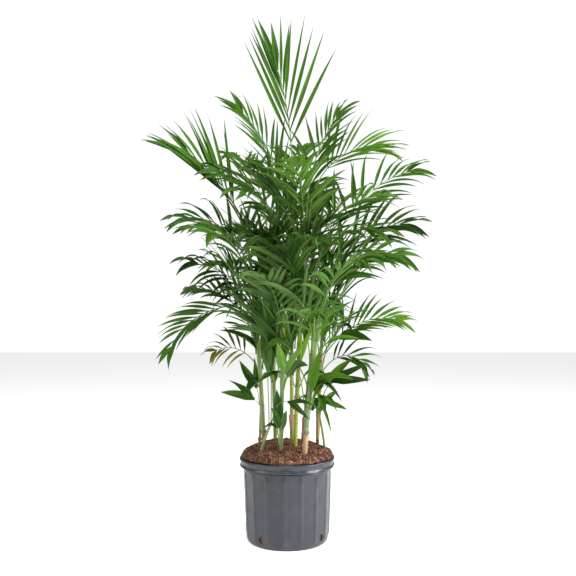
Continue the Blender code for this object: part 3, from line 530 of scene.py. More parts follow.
def blade_frames(blades):
    """Each single leaf's line of points, the way along it, and the vector across it.

    The line is a quadratic curve from the cane, up by the lift, to the tip, and the leaf's face is turned
    about it towards the way that it looks.
    """
    shares = np.linspace(0, 1, BLADE_STEPS + 1)[:, None]
    lines, every_way, levels = [], [], []
    for blade in blades:
        cane = CANES[blade.cane]
        tip = np.array(blade.tip)
        foot = cane_points(cane, min((blade.height - SOIL_LEVEL) / (cane.top_z - SOIL_LEVEL), 1))[0]
        outward = unit((tip - foot) * (1, 1, 0))
        start = foot + outward * (cane.radius + 0.0012)
        knee = start + UP * blade.lift + 0.22 * (tip - start)
        line = (1 - shares) ** 2 * start + 2 * shares * (1 - shares) * knee + shares**2 * tip
        ways = unit(np.gradient(line, axis=0))
        turn, tilt = np.radians(blade.looks)
        look = np.array([math.cos(turn) * math.cos(tilt), math.sin(turn) * math.cos(tilt), math.sin(tilt)])
        lines.append(line)
        every_way.append(ways)
        levels.append(unit(np.cross(ways, look)))
    return np.array(lines), np.array(every_way), np.array(levels)


def blade_rings(blades):
    """The rings of single broad leaves: a bare stalk's width up to the blade's foot, full at four tenths of
    the blade, and a fine tip."""
    line, ways, level = blade_frames(blades)
    stalk = np.array([blade.stalk for blade in blades])[:, None]
    width = np.array([blade.width for blade in blades])[:, None]
    shares = np.clip((np.linspace(0, 1, BLADE_STEPS + 1) - stalk) / (1 - stalk), 0, 1)
    half = width / 2 * smooth(shares / 0.40) * (1 - np.clip((shares - 0.40) / 0.60, 0, 1) ** 2.0)
    half = np.maximum(half, np.where(shares > 0.5, 0.0003, 0.0010))
    return leaf_rings(line, ways, level, half, np.arange(len(blades)) * 1.7)


def lofts(name, rings, materials, replaced=(), across=None, lengthwise=None, below=(), sharp=40):
    """One mesh of closed bodies, each a row of rings that are joined by quads and closed at both ends.

    rings has a row for each body, in it the rings, and in each ring its corners, counted right-handed
    about the way from the first ring to the last. UV is the share along the body and round the ring, or
    the given values. Quads of the corners named in below take the second material.
    """
    rings = np.asarray(rings, float)
    bodies, count, corners = rings.shape[:3]
    index = np.arange(bodies * count * corners).reshape(bodies, count, corners)
    following = np.roll(index, -1, axis=2)
    quads = np.stack([index[:, :-1], following[:, :-1], following[:, 1:], index[:, 1:]], axis=-1)
    ends = np.concatenate([index[:, 0, ::-1], index[:, -1]])
    if across is None:
        across = np.linspace(0, 1, corners + 1)
    if lengthwise is None:
        lengthwise = np.broadcast_to(np.linspace(0, 1, count), (bodies, count))
    shape = quads.shape[:3]
    start = np.broadcast_to(lengthwise[:, :-1, None], shape)
    stop = np.broadcast_to(lengthwise[:, 1:, None], shape)
    near = np.broadcast_to(across[:-1], shape)
    far = np.broadcast_to(across[1:], shape)
    corners_of_quads = np.stack([start, near, start, far, stop, far, stop, near], axis=-1)
    ends_lengthwise = np.concatenate([lengthwise[:, 0], lengthwise[:, -1]])
    corners_of_ends = np.stack([np.repeat(ends_lengthwise, corners), np.full(2 * bodies * corners, 0.5)], axis=-1)
    mesh = bpy.data.meshes.new(name)
    mesh.from_pydata(rings.reshape(-1, 3).tolist(), [], quads.reshape(-1, 4).tolist() + ends.tolist())
    layer = mesh.uv_layers.new(name="UVMap")
    layer.data.foreach_set("uv", np.concatenate([corners_of_quads.ravel(), corners_of_ends.ravel()]))
    if len(below):
        kinds = np.zeros(shape, np.int32)
        kinds[:, :, list(below)] = 1
        kinds = np.concatenate([kinds.ravel(), np.zeros(len(ends), np.int32)])
        mesh.polygons.foreach_set("material_index", kinds)
    return add_piece(name, mesh, materials, replaced, sharp)


def add_piece(name, mesh, materials, replaced=(), sharp=40):
    """The mesh as a finished piece of the plant, on the frame's one body."""
    for material in materials:
        mesh.materials.append(material)
    mesh.shade_smooth()
    mesh.set_sharp_from_angle(angle=math.radians(sharp))
    piece = bpy.data.objects.new(name, mesh)
    bpy.context.scene.collection.objects.link(piece)
    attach(piece, "root")
    if replaced:
        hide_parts(*replaced)
    return piece


def tube_rings(points, ways, radii, corners, first_side=None):
    """Rings round a row of points: round sections square to the way there, of the given radii.

    radii has a value for each point, or for each corner of each point.
    """
    side = np.array([1.0, 0.0, 0.0]) if first_side is None else first_side
    across = unit(side - (ways @ side)[:, None] * ways)
    above = np.cross(ways, across)
    turn = np.linspace(0, 2 * math.pi, corners, endpoint=False)
    radii = np.asarray(radii, float)
    if radii.ndim == 1:
        radii = radii[:, None]
    flat = across[:, None] * np.cos(turn)[:, None] + above[:, None] * np.sin(turn)[:, None]
    return points[:, None] + flat * radii[..., None]


def add_node(tree, kind, settings=None, **values):
    """A shader node of the kind with its settings; each value is set on the input of that name, or linked."""
    made = tree.nodes.new("ShaderNode" + kind)
    for name, value in (settings or {}).items():
        setattr(made, name, value)
    for name, value in values.items():
        place = made.inputs[int(name[5:]) if name.startswith("input") else name.replace("_", " ")]
        if isinstance(value, bpy.types.NodeSocket):
            tree.links.new(value, place)
        else:
            place.default_value = value
    return made


def speckle(tree, scale, detail=3.0, stretch=(1, 1, 1), source="Object"):
    """A noise pattern in the piece's own coordinates or its UV, stretched along the axes."""
    place = add_node(tree, "TexCoord").outputs[source]
    place = add_node(tree, "Mapping", Vector=place, Scale=stretch).outputs["Vector"]
    return add_node(tree, "TexNoise", Vector=place, Scale=scale, Detail=detail).outputs["Fac"]


def ramp(tree, source, *stops):
    """The source turned into colours: each stop is a place from 0 to 1 and its colour."""
    made = add_node(tree, "ValToRGB", Fac=source)
    elements = made.color_ramp.elements
    while len(elements) < len(stops):
        elements.new(0.5)
    for element, (place, colour) in zip(elements, stops):
        element.position = place
        element.color = (*colour, 1.0) if len(colour) == 3 else colour
    return made.outputs["Color"]


def mix(tree, factor, first, second, blend="MIX"):
    """Two colours mixed by the factor."""
    made = add_node(tree, "Mix", {"data_type": "RGBA", "blend_type": blend}, input0=factor)
    for place, value in ((6, first), (7, second)):
        if isinstance(value, bpy.types.NodeSocket):
            tree.links.new(value, made.inputs[place])
        else:
            made.inputs[place].default_value = (*value, 1.0)
    return made.outputs[2]


def scaled(tree, value, low, high, to_low=0.0, to_high=1.0):
    """The value's range from low to high spread over the new range and kept within it."""
    made = add_node(tree, "MapRange", Value=value, From_Min=low, From_Max=high, To_Min=to_low, To_Max=to_high)
    return made.outputs["Result"]


def uv_part(tree, part):
    """X, along the piece, or Y, across it, of the UV."""
    place = add_node(tree, "TexCoord").outputs["UV"]
    return add_node(tree, "SeparateXYZ", Vector=place).outputs[part]


def stripes(tree, part, count, sharpness=1.0):
    """Even waves from 0 to 1 along one part of the UV."""
    turned = add_node(tree, "Math", {"operation": "MULTIPLY"}, input0=uv_part(tree, part), input1=count * 6.2832)
    wave = add_node(tree, "Math", {"operation": "SINE"}, input0=turned.outputs[0])
    return scaled(tree, wave.outputs[0], -sharpness, sharpness)


def finish_material(name, tree_of, colour, roughness, height=None, bump=0.3, distance=0.001, **fixed):
    """The material's shader with its colour and roughness linked, its bump, and its fixed values."""
    tree, material = tree_of
    shader = tree.nodes["Principled BSDF"]
    tree.links.new(colour, shader.inputs["Base Color"])
    tree.links.new(roughness, shader.inputs["Roughness"])
    if height is not None:
        made = add_node(tree, "Bump", Height=height, Strength=bump, Distance=distance)
        tree.links.new(made.outputs["Normal"], shader.inputs["Normal"])
    for label, value in fixed.items():
        shader.inputs[label.replace("_", " ")].default_value = value
    return material


def new_tree(name):
    """An empty node material and its tree."""
    material = bpy.data.materials.new(name)
    material.use_nodes = True
    return material.node_tree, material


def leaf_material(name, light, dark, below=False):
    """Leaf green in soft patches, with fine lengthwise veins, a pale midrib and a dry tip."""
    made = new_tree(name)
    tree = made[0]
    patches = scaled(tree, speckle(tree, 9.0), 0.35, 0.65)
    colour = mix(tree, patches, dark, light)
    veins = stripes(tree, "Y", 9.0)
    colour = mix(tree, scaled(tree, veins, 0, 1, 0.0, 0.16), colour, tuple(1.3 * value for value in light))
    across = add_node(tree, "Math", {"operation": "SUBTRACT"}, input0=uv_part(tree, "Y"), input1=0.5)
    across = add_node(tree, "Math", {"operation": "ABSOLUTE"}, input0=across.outputs[0]).outputs[0]
    midrib = scaled(tree, across, 0.07, 0.02, 0.0, 0.35 if below else 0.22)
    colour = mix(tree, midrib, colour, (0.24, 0.36, 0.06))
    if below:
        colour = mix(tree, 0.30, colour, (0.11, 0.19, 0.05))
    tip = scaled(tree, uv_part(tree, "X"), 0.955, 0.985)
    dry = add_node(tree, "Math", {"operation": "MULTIPLY"}, input0=tip, input1=scaled(tree, speckle(tree, 14.0), 0.45, 0.6))
    colour = mix(tree, dry.outputs[0], colour, (0.24, 0.13, 0.045))
    roughness = scaled(tree, speckle(tree, 60.0), 0.3, 0.7, 0.55 if below else 0.38, 0.65 if below else 0.52)
    return finish_material(name, made, colour, roughness, veins, 0.25, 0.0006, Specular_IOR_Level=0.14)


def stem_material(name, green, pale, ring=None, waxy=0.0):
    """A smooth green stem, streaked lengthwise; with a ring colour, a pale scar at each whole number of U."""
    made = new_tree(name)
    tree = made[0]
    streaks = speckle(tree, 40.0, stretch=(1, 1, 0.06))
    colour = mix(tree, scaled(tree, streaks, 0.35, 0.65), green, pale)
    blotches = speckle(tree, 45.0, 5.0)
    colour = mix(tree, scaled(tree, blotches, 0.58, 0.70, 0.0, 0.35), colour, (0.22, 0.17, 0.07))
    if ring:
        rest = add_node(tree, "Math", {"operation": "PINGPONG"}, input0=uv_part(tree, "X"), input1=0.5).outputs[0]
        scar = scaled(tree, rest, 0.085, 0.035)
        colour = mix(tree, scar, colour, ring)
        line = scaled(tree, rest, 0.028, 0.010, 0.0, 0.75)
        colour = mix(tree, line, colour, tuple(value * 0.30 for value in ring))
    if waxy:
        bloom = scaled(tree, speckle(tree, 18.0), 0.40, 0.65, 0.0, waxy)
        colour = mix(tree, bloom, colour, (0.36, 0.42, 0.32))
    roughness = scaled(tree, streaks, 0.3, 0.7, 0.36, 0.58)
    return finish_material(name, made, colour, roughness, streaks, 0.35, 0.001)


def dry_material(name, light, dark):
    """Papery dry sheath: torn lengthwise fibres from dark to light."""
    made = new_tree(name)
    tree = made[0]
    fibres = speckle(tree, 110.0, 6.0, (1, 1, 0.07))
    colour = mix(tree, scaled(tree, fibres, 0.32, 0.68), dark, light)
    stains = scaled(tree, speckle(tree, 30.0, 4.0), 0.50, 0.66, 0.0, 0.6)
    colour = mix(tree, stains, colour, tuple(value * 0.45 for value in dark))
    roughness = scaled(tree, fibres, 0.3, 0.7, 0.7, 0.9)
    return finish_material(name, made, colour, roughness, fibres, 0.7, 0.0015)


def mix_material(name, light, dark):
    """Moist bark and coir: mottled browns with a rough grain."""
    made = new_tree(name)
    tree = made[0]
    grain = speckle(tree, 260.0, 8.0)
    patches = speckle(tree, 36.0, 4.0)
    colour = mix(tree, scaled(tree, patches, 0.35, 0.65), dark, light)
    colour = mix(tree, scaled(tree, grain, 0.50, 0.64, 0.0, 0.7), colour, tuple(0.30 * value for value in dark))
    roughness = scaled(tree, grain, 0.3, 0.7, 0.78, 0.95)
    return finish_material(name, made, colour, roughness, grain, 0.8, 0.002)


def pot_material():
    """Slate-grey blown plastic: a dull sheen, faint vertical flow marks, patches of dust and light scuffs."""
    made = new_tree("Pot plastic")
    tree = made[0]
    flow = speckle(tree, 22.0, 3.0, (1, 1, 0.08))
    colour = mix(tree, scaled(tree, flow, 0.35, 0.65), (0.022, 0.027, 0.035), (0.034, 0.041, 0.051))
    dust = scaled(tree, speckle(tree, 30.0, 6.0), 0.50, 0.72, 0.0, 0.25)
    colour = mix(tree, dust, colour, (0.105, 0.100, 0.095))
    scuffs = scaled(tree, speckle(tree, 190.0, 3.0, (1, 1, 0.25)), 0.68, 0.74, 0.0, 0.20)
    colour = mix(tree, scuffs, colour, (0.14, 0.15, 0.17))
    roughness = scaled(tree, speckle(tree, 50.0, 5.0), 0.3, 0.7, 0.28, 0.44)
    pores = speckle(tree, 700.0, 2.0)
    return finish_material("Pot plastic", made, colour, roughness, pores, 0.12, 0.0005)


def add_leaflets(frames, inner_frames):
    """The leaflets of all fronds and the single leaves, those of one green as one mesh."""
    groups = {green: [] for green in GREENS}
    for frond in FRONDS:
        inside = frond.name.startswith(("frond_front", "frond_back", "frond_inner"))
        green = FROND_GREENS.get(frond.name, "mid")
        groups[green] += leaflets_of(frond, frames[frond.name], 1.6 if inside else 1.0)
    for number, (frond, frame_of_rib) in enumerate(inner_frames):
        kept = []
        for leaflet in leaflets_of(frond, frame_of_rib, 1.6):
            tip = leaflet.root + leaflet.way * leaflet.length
            if math.hypot(tip[0], tip[1]) < crown_radius(tip[2]):
                kept.append(leaflet)
        groups[INNER_GREENS[number % len(INNER_GREENS)]] += kept
    across = np.append(LEAF_ACROSS, -1.0) / 2 + 0.5
    for green, leaflets in groups.items():
        light, dark = GREENS[green]
        materials = [
            leaf_material("Leaf " + green, light, dark),
            leaf_material("Leaf underside " + green, light, dark, below=True),
        ]
        blades = [blade for blade in BLADES if blade.green == green]
        if leaflets:
            lofts("leaflets_" + green, leaflet_rings(leaflets), materials, across=across,
                  below=LEAF_BELOW, sharp=60)
        if blades:
            lofts("broad_leaves_" + green, blade_rings(blades), materials, across=across,
                  below=LEAF_BELOW, sharp=60)


def add_ribs(frames, inner_frames):
    """Every frond's stalk and rib: a rounded bar, grooved on top, that thins evenly to its tip."""
    turn = np.linspace(0, 2 * math.pi, 8, endpoint=False)
    groove = 1 - 0.25 * np.exp(-(((turn - math.pi / 2) / 0.5) ** 2))
    shares = np.linspace(0, 1, RIB_STEPS + 1)
    rows = [(frond, frames[frond.name]) for frond in FRONDS] + inner_frames
    rings = []
    for frond, (points, ways, sideways, upward) in rows:
        radius = RIB_RADIUS * (1.0 - 0.68 * shares**0.8) * min(1.0, 0.55 + frond.length)
        flat = sideways[:, None] * (np.cos(turn) * groove)[:, None] + upward[:, None] * (np.sin(turn) * groove)[:, None]
        rings.append((points[:, None] + flat * radius[:, None, None])[::2])
    material = stem_material("Rib green", (0.080, 0.190, 0.016), (0.190, 0.310, 0.050))
    lofts("frond_ribs", rings, [material], [frond.name for frond in FRONDS])


def add_stalks():
    """The single leaves' stalks: round bars that go on as midribs and thin evenly to the tips."""
    line, ways, level = blade_frames(BLADES)
    face = np.cross(level, ways)
    shares = np.linspace(0, 1, BLADE_STEPS + 1)
    radius = (0.0017 * (1.0 - 0.8 * shares))[:, None, None]
    turn = np.linspace(0, 2 * math.pi, 8, endpoint=False)[:, None]
    flat = level[:, :, None] * np.cos(turn) - face[:, :, None] * np.sin(turn)
    centre = line - face * 0.0006
    material = stem_material("Stalk green", (0.090, 0.200, 0.016), (0.210, 0.330, 0.050))
    lofts("leaf_stalks", centre[:, :, None] + flat * radius, [material])


def node_heights(letter, cane):
    """Heights of a cane's rings: closer together low down, with small random differences."""
    dice = random.Random("rings " + letter)
    heights = [SOIL_LEVEL - 0.02]
    while heights[-1] < cane.top_z + 0.05:
        heights.append(heights[-1] + dice.uniform(0.026, 0.034) + 0.03 * (heights[-1] - SOIL_LEVEL))
    return heights


def add_canes():
    """The canes by colour: ringed tubes with a low swelling at each ring, from below the mix to their tops.

    U counts the rings, so that each whole number falls on one; V goes round.
    """
    kinds = {"green": ([], [], []), "grey": ([], [], []), "brown": ([], [], [])}
    for letter, cane in CANES.items():
        low = (0.225 - SOIL_LEVEL) / (cane.top_z - SOIL_LEVEL)
        shares = np.linspace(low, 1, 320)
        points = cane_points(cane, shares)
        ways = unit(np.gradient(points, axis=0))
        heights = node_heights(letter, cane)
        count = np.interp(points[:, 2], heights, np.arange(len(heights)))
        rest = np.abs(count - np.round(count))
        swelling = 0.10 * np.exp(-((rest / 0.07) ** 2)) - 0.05 * np.exp(-((rest / 0.02) ** 2))
        wobble = 0.03 * noise(points, 0.03, 5)
        radii = cane.radius * (0.98 - 0.16 * shares + swelling + wobble)
        rows, counts, nodes = kinds[CANE_KINDS[letter]]
        rows.append(tube_rings(points, ways, radii, 20))
        counts.append(count)
        nodes.append("cane_" + letter)
    ring = (0.360, 0.270, 0.120)
    materials = {
        "green": stem_material("Cane yellow-green", (0.120, 0.190, 0.010), (0.260, 0.320, 0.024), ring),
        "grey": stem_material("Cane blue-green", (0.090, 0.165, 0.060), (0.170, 0.250, 0.105), ring, 0.35),
        "brown": stem_material("Cane brown", (0.060, 0.042, 0.015), (0.140, 0.100, 0.032), ring),
    }
    for kind, (rows, counts, nodes) in kinds.items():
        lofts("canes_" + kind, rows, [materials[kind]], nodes, lengthwise=np.array(counts))


def sheath_rings(cane, low, high, swell, seed, flare=0.0, ragged=0.15, corners=20, steps=16):
    """A sheath round a cane between two shares of its height: up its outside, over its edge and down inside.

    Its mouth is cut askew and frayed by noise, and flares out from the cane.
    """
    turn = np.linspace(0, 2 * math.pi, corners, endpoint=False)
    fray = 1 - ragged * (0.5 + 0.5 * noise(np.stack([np.cos(turn), np.sin(turn), turn * 0], axis=-1), 0.4, seed))
    rows = []
    for inside in (0, 1):
        for step in (range(steps + 1) if not inside else range(steps, -1, -1)):
            share = step / steps
            centre = cane_points(cane, low + (high - low) * share)[0]
            way = cane_direction(cane, low + (high - low) * share)
            across = unit(np.array([1.0, 0, 0]) - way[0] * way)
            above = np.cross(way, across)
            drop = (share * (high - low) * (cane.top_z - SOIL_LEVEL)) * (1 - fray)
            wall = 0.0004 if inside and share > 0.05 else (0.0012 if inside else 0.0)
            radius = cane.radius * (1.0 - 0.16 * (low + (high - low) * share)) + swell * (0.35 + 0.65 * share) + flare * share**4 - wall
            if share == 0:
                radius = cane.radius * (0.9 if inside else 0.99)
            radius = radius + 0.0003 * noise(np.stack([turn, turn * 0 + share * 9, turn * 0], axis=-1), 0.5, seed + 1)
            flat = across * np.cos(turn)[:, None] + above * np.sin(turn)[:, None]
            rows.append(centre + flat * radius[:, None] - way * drop[:, None])
    return np.array(rows)


def add_sheaths():
    """Green sheaths on the canes below each frond's foot, and dry ones left on the low rings."""
    green, dry = [], []
    for number, frond in enumerate(FRONDS):
        cane = CANES[frond.cane]
        tall = cane.top_z - SOIL_LEVEL
        if tall < 0.2:
            continue
        reach = (0.075 if frond.length > 0.2 else 0.03) / tall
        high = min(frond.at + 0.004 / tall, 1.0)
        green.append(sheath_rings(cane, max(high - reach, 0.05), high, 0.0007, 40 + number, 0.0003, 0.10))
    for letter, places in DRY_SHEATHS.items():
        cane = CANES[letter]
        tall = cane.top_z - SOIL_LEVEL
        for low, high in places:
            shares = ((low - SOIL_LEVEL) / tall, (high - SOIL_LEVEL) / tall)
            dry.append(sheath_rings(cane, *shares, 0.0012, ord(letter), 0.0016, 0.45))
    sheath = stem_material("Sheath grey-green", (0.090, 0.175, 0.035), (0.180, 0.270, 0.080), waxy=0.25)
    lofts("leaf_sheaths", green, [sheath])
    lofts("dry_sheaths", dry, [dry_material("Sheath dry", (0.480, 0.330, 0.170), (0.260, 0.150, 0.065))])


def add_spear():
    """The closed new leaf: a slim pointed bar of folded leaflets with lengthwise pleats."""
    cane = CANES["e"]
    way = cane_direction(cane, 1)
    shares = np.linspace(0, 1, 40)
    foot = cane_points(cane, 1)[0] + way * GAP
    points = foot + way * 0.105 * shares[:, None]
    ways = np.broadcast_to(way, points.shape)
    turn = np.linspace(0, 2 * math.pi, 24, endpoint=False)
    girth = np.interp(shares, (0.0, 0.25, 0.6, 0.9, 1.0), (0.75, 1.0, 0.8, 0.35, 0.08))
    pleats = 1 - 0.10 * np.cos(6 * (turn + 1.2 * shares[:, None])) ** 2
    rings = tube_rings(points, ways, 0.0068 * girth[:, None] * pleats, 24)
    material = stem_material("New leaf lime", (0.170, 0.330, 0.020), (0.330, 0.500, 0.045))
    lofts("unopened_leaf", rings[None], [material], ["new_spear"])


def mix_height(x, y):
    """Height of the heap of mix over a place in plan: the heap's profile, shifted towards the back, with
    lumps from noise at two sizes."""
    depth = y - MIX_SHIFT * (1 - np.clip((x * x + y * y) / MIX_RADIUS**2, 0, 1))
    share = np.clip(np.sqrt(x * x + depth * depth) / MIX_RADIUS, 0, 1)
    places, heights = zip(*reversed(MIX_MOUND))
    flat = np.stack([x, y, 0 * x], axis=-1)
    lumps = 0.0026 * noise(flat, 0.016, 11) + 0.0014 * noise(flat, 0.006, 12)
    return np.interp(share, places, heights) + lumps * smooth((1.0 - share) / 0.06)


def add_mix():
    """The heap, which lies on the pot's lip, with its side and underside inside the pot, and the loose
    fibres and chips on it."""
    turn = np.linspace(0, 2 * math.pi, 200, endpoint=False)
    shares = np.linspace(1.0, 0.004, 66)
    x = MIX_RADIUS * shares[:, None] * np.cos(turn)
    y = MIX_RADIUS * shares[:, None] * np.sin(turn)
    uneven = 0.5 + 0.5 * noise(np.stack([x[0], y[0], 0 * turn], axis=-1), 0.012, 4)
    frayed = 1 - 0.018 * uneven * smooth((shares[:, None] - 0.9) / 0.1)
    top = np.stack([x * frayed, y * frayed, mix_height(x, y)], axis=-1)
    wall_radius = WALL_FOOT_RADIUS - WALL + (WALL_TOP_RADIUS - WALL_FOOT_RADIUS + WALL) * np.linspace(0, 0.9, 24)
    radii = np.concatenate([[0.001], wall_radius - 0.0012, [MIX_INSIDE_RADIUS, MIX_INSIDE_RADIUS + 0.0008]])
    heights = np.concatenate([[FLOOR + 0.001], np.linspace(FOOT_ROUND, 0.200, 24), [0.2230, 0.2292]])
    side = np.stack([radii[:, None] * np.cos(turn), radii[:, None] * np.sin(turn), heights[:, None] + 0 * turn], axis=-1)
    rings = np.concatenate([side, top])[None]
    dark = mix_material("Mix dark", (0.150, 0.062, 0.036), (0.062, 0.025, 0.014))
    lofts("mix_mound", rings, [dark], ["potting_mix"], sharp=80)
    dice = np.random.default_rng(21)
    kinds = (
        ("fibres_reddish", 4200, (0.270, 0.110, 0.062), (0.150, 0.058, 0.032)),
        ("fibres_tan", 1200, (0.480, 0.270, 0.160), (0.310, 0.150, 0.080)),
        ("fibres_dark", 1300, (0.100, 0.042, 0.024), (0.045, 0.018, 0.010)),
    )
    for name, count, light, dark in kinds:
        rings = fibre_rings(dice, count)
        lofts("mix_" + name, rings, [mix_material("Mix " + name.replace("_", " "), light, dark)])


def fibre_rings(dice, count):
    """Flat bent strips that lie on the mound: each follows a low arch from its root, with both ends sunk."""
    radius = 0.1225 * np.sqrt(dice.uniform(0, 1, count))
    place = dice.uniform(0, 2 * math.pi, count)
    root = np.stack([radius * np.cos(place), radius * np.sin(place)], axis=-1)
    heading = dice.uniform(0, 2 * math.pi, count)
    aim = np.stack([np.cos(heading), np.sin(heading)], axis=-1)
    length = dice.uniform(0.006, 0.030, count) * dice.uniform(0.5, 1, count)
    width = dice.uniform(0.0006, 0.0024, count)
    curl = dice.uniform(-0.5, 0.5, count)
    rise = dice.uniform(-0.0008, 0.0030, count)
    shares = np.linspace(0, 1, 5)
    turn = curl[:, None] * (shares - 0.5)
    across = np.stack([-aim[:, 1], aim[:, 0]], axis=-1)
    flat = root[:, None] + (aim[:, None] * (shares - 0.5)[:, None]) * length[:, None, None]
    flat = flat + across[:, None] * (turn * (shares - 0.5) * length[:, None])[..., None]
    reach = np.linalg.norm(flat, axis=-1, keepdims=True)
    flat = flat * np.minimum(1, 0.1262 / reach)
    arch = 4 * shares * (1 - shares)
    height = mix_height(flat[..., 0], flat[..., 1]) - 0.0008 + arch * rise[:, None]
    line = np.concatenate([flat, height[..., None]], axis=-1)
    ways = unit(np.gradient(line, axis=1))
    lean = dice.uniform(-1.0, 1.0, count)
    level = unit(np.cross(UP, ways))
    above = np.cross(ways, level)
    side = np.cos(lean)[:, None, None] * level + np.sin(lean)[:, None, None] * above
    raised = np.cross(ways, side)
    half = width[:, None] * (0.35 + 0.65 * arch)
    corners = ((1.0, 0.0), (0.0, 0.45), (-1.0, 0.0), (0.0, -0.45))
    rings = [line + side * (half * out)[..., None] + raised * (half * up)[..., None] for out, up in corners]
    return np.stack(rings, axis=2)


def flute_relief(turn, height):
    """How far the pot's wall stands out: slightly hollow panels between smooth ridges, both of which fade
    out at their ends."""
    degrees = np.degrees(turn) % (360.0 / FLUTES)
    rise = smooth((degrees - PANEL_DEGREES) / RIDGE_SLOPE_DEGREES)
    fall = smooth((degrees - 360.0 / FLUTES + RIDGE_SLOPE_DEGREES) / RIDGE_SLOPE_DEGREES)
    hollow = PANEL_HOLLOW * np.sin(math.pi * np.clip(degrees / PANEL_DEGREES, 0, 1))
    ends = smooth((height - 0.010) / 0.010) * smooth((POT_HEIGHT - RIM_BAND - 0.008 - height) / 0.012)
    return (FLUTE_RELIEF * (rise - fall) - hollow) * ends


def pot_rows():
    """Rows of the pot's section: kind of surface, radius without ridges, and height, from the underside's
    middle, up the outside, over the rim and down the inside to the floor's middle."""
    band = POT_HEIGHT - RIM_BAND
    rows = [("under", radius, 0.0012 if radius < 0.088 else 0.0) for radius in (0.001, 0.03, 0.06, 0.0875, 0.0885)]
    rows += [("under", radius, 0.0) for radius in (0.098, FOOT_RADIUS - 0.004)]
    rows += [("foot", FOOT_RADIUS, 0.0004), ("foot", FOOT_RADIUS + 0.0024, 0.0034), ("foot", FOOT_RADIUS + 0.0038, 0.0070)]
    step = DRAIN_TALL / 2 / HOLE_ROWS
    low = [DRAIN_HEIGHT + step * number for number in range(-DRAWN_ROWS, DRAWN_ROWS + 1)]
    heights = low + list(np.linspace(0.045, band - 0.012, 22)) + [band - 0.009, band - 0.0065]
    wall = [("wall", WALL_FOOT_RADIUS, height) for height in heights]
    rim = [
        ("rim", WALL_TOP_RADIUS + 0.0008, band - 0.0062),
        ("rim", WALL_TOP_RADIUS + 0.0026, band - 0.0054),
        ("rim", WALL_TOP_RADIUS + 0.0034, band - 0.0040),
        ("rim", WALL_TOP_RADIUS + 0.0028, band - 0.0026),
        ("rim", WALL_TOP_RADIUS + 0.0026, band - 0.0012),
        ("rim", RIM_RADIUS - 0.0040, band - 0.0002),
        ("rim", RIM_RADIUS - 0.0012, band + 0.0008),
        ("rim", RIM_RADIUS - 0.0001, band + 0.0026),
        ("rim", RIM_RADIUS - 0.0004, band + 0.0046),
        ("rim", RIM_RADIUS - 0.0020, band + 0.0066),
        ("rim", RIM_RADIUS - 0.0028, band + 0.0095),
        ("rim", RIM_RADIUS - 0.0026, band + 0.0125),
        ("rim", RIM_RADIUS - 0.0014, band + 0.0155),
        ("rim", RIM_RADIUS + 0.0001, band + 0.0182),
        ("rim", RIM_RADIUS + 0.0006, POT_HEIGHT - 0.0042),
        ("rim", RIM_RADIUS + 0.0002, POT_HEIGHT - 0.0020),
        ("rim", RIM_RADIUS - 0.0012, POT_HEIGHT - 0.0006),
        ("rim", RIM_RADIUS - 0.0034, POT_HEIGHT),
        ("rim", WALL_TOP_RADIUS + 0.0020, POT_HEIGHT - 0.0008),
        ("rim", WALL_TOP_RADIUS + 0.0004, POT_HEIGHT - 0.0030),
    ]
    inside = [("inside", WALL_FOOT_RADIUS, height) for height in reversed(heights)]
    floor = [("floor", FOOT_RADIUS - WALL, FLOOR), ("floor", 0.05, FLOOR), ("floor", 0.001, FLOOR)]
    return rows + wall + rim + inside + floor


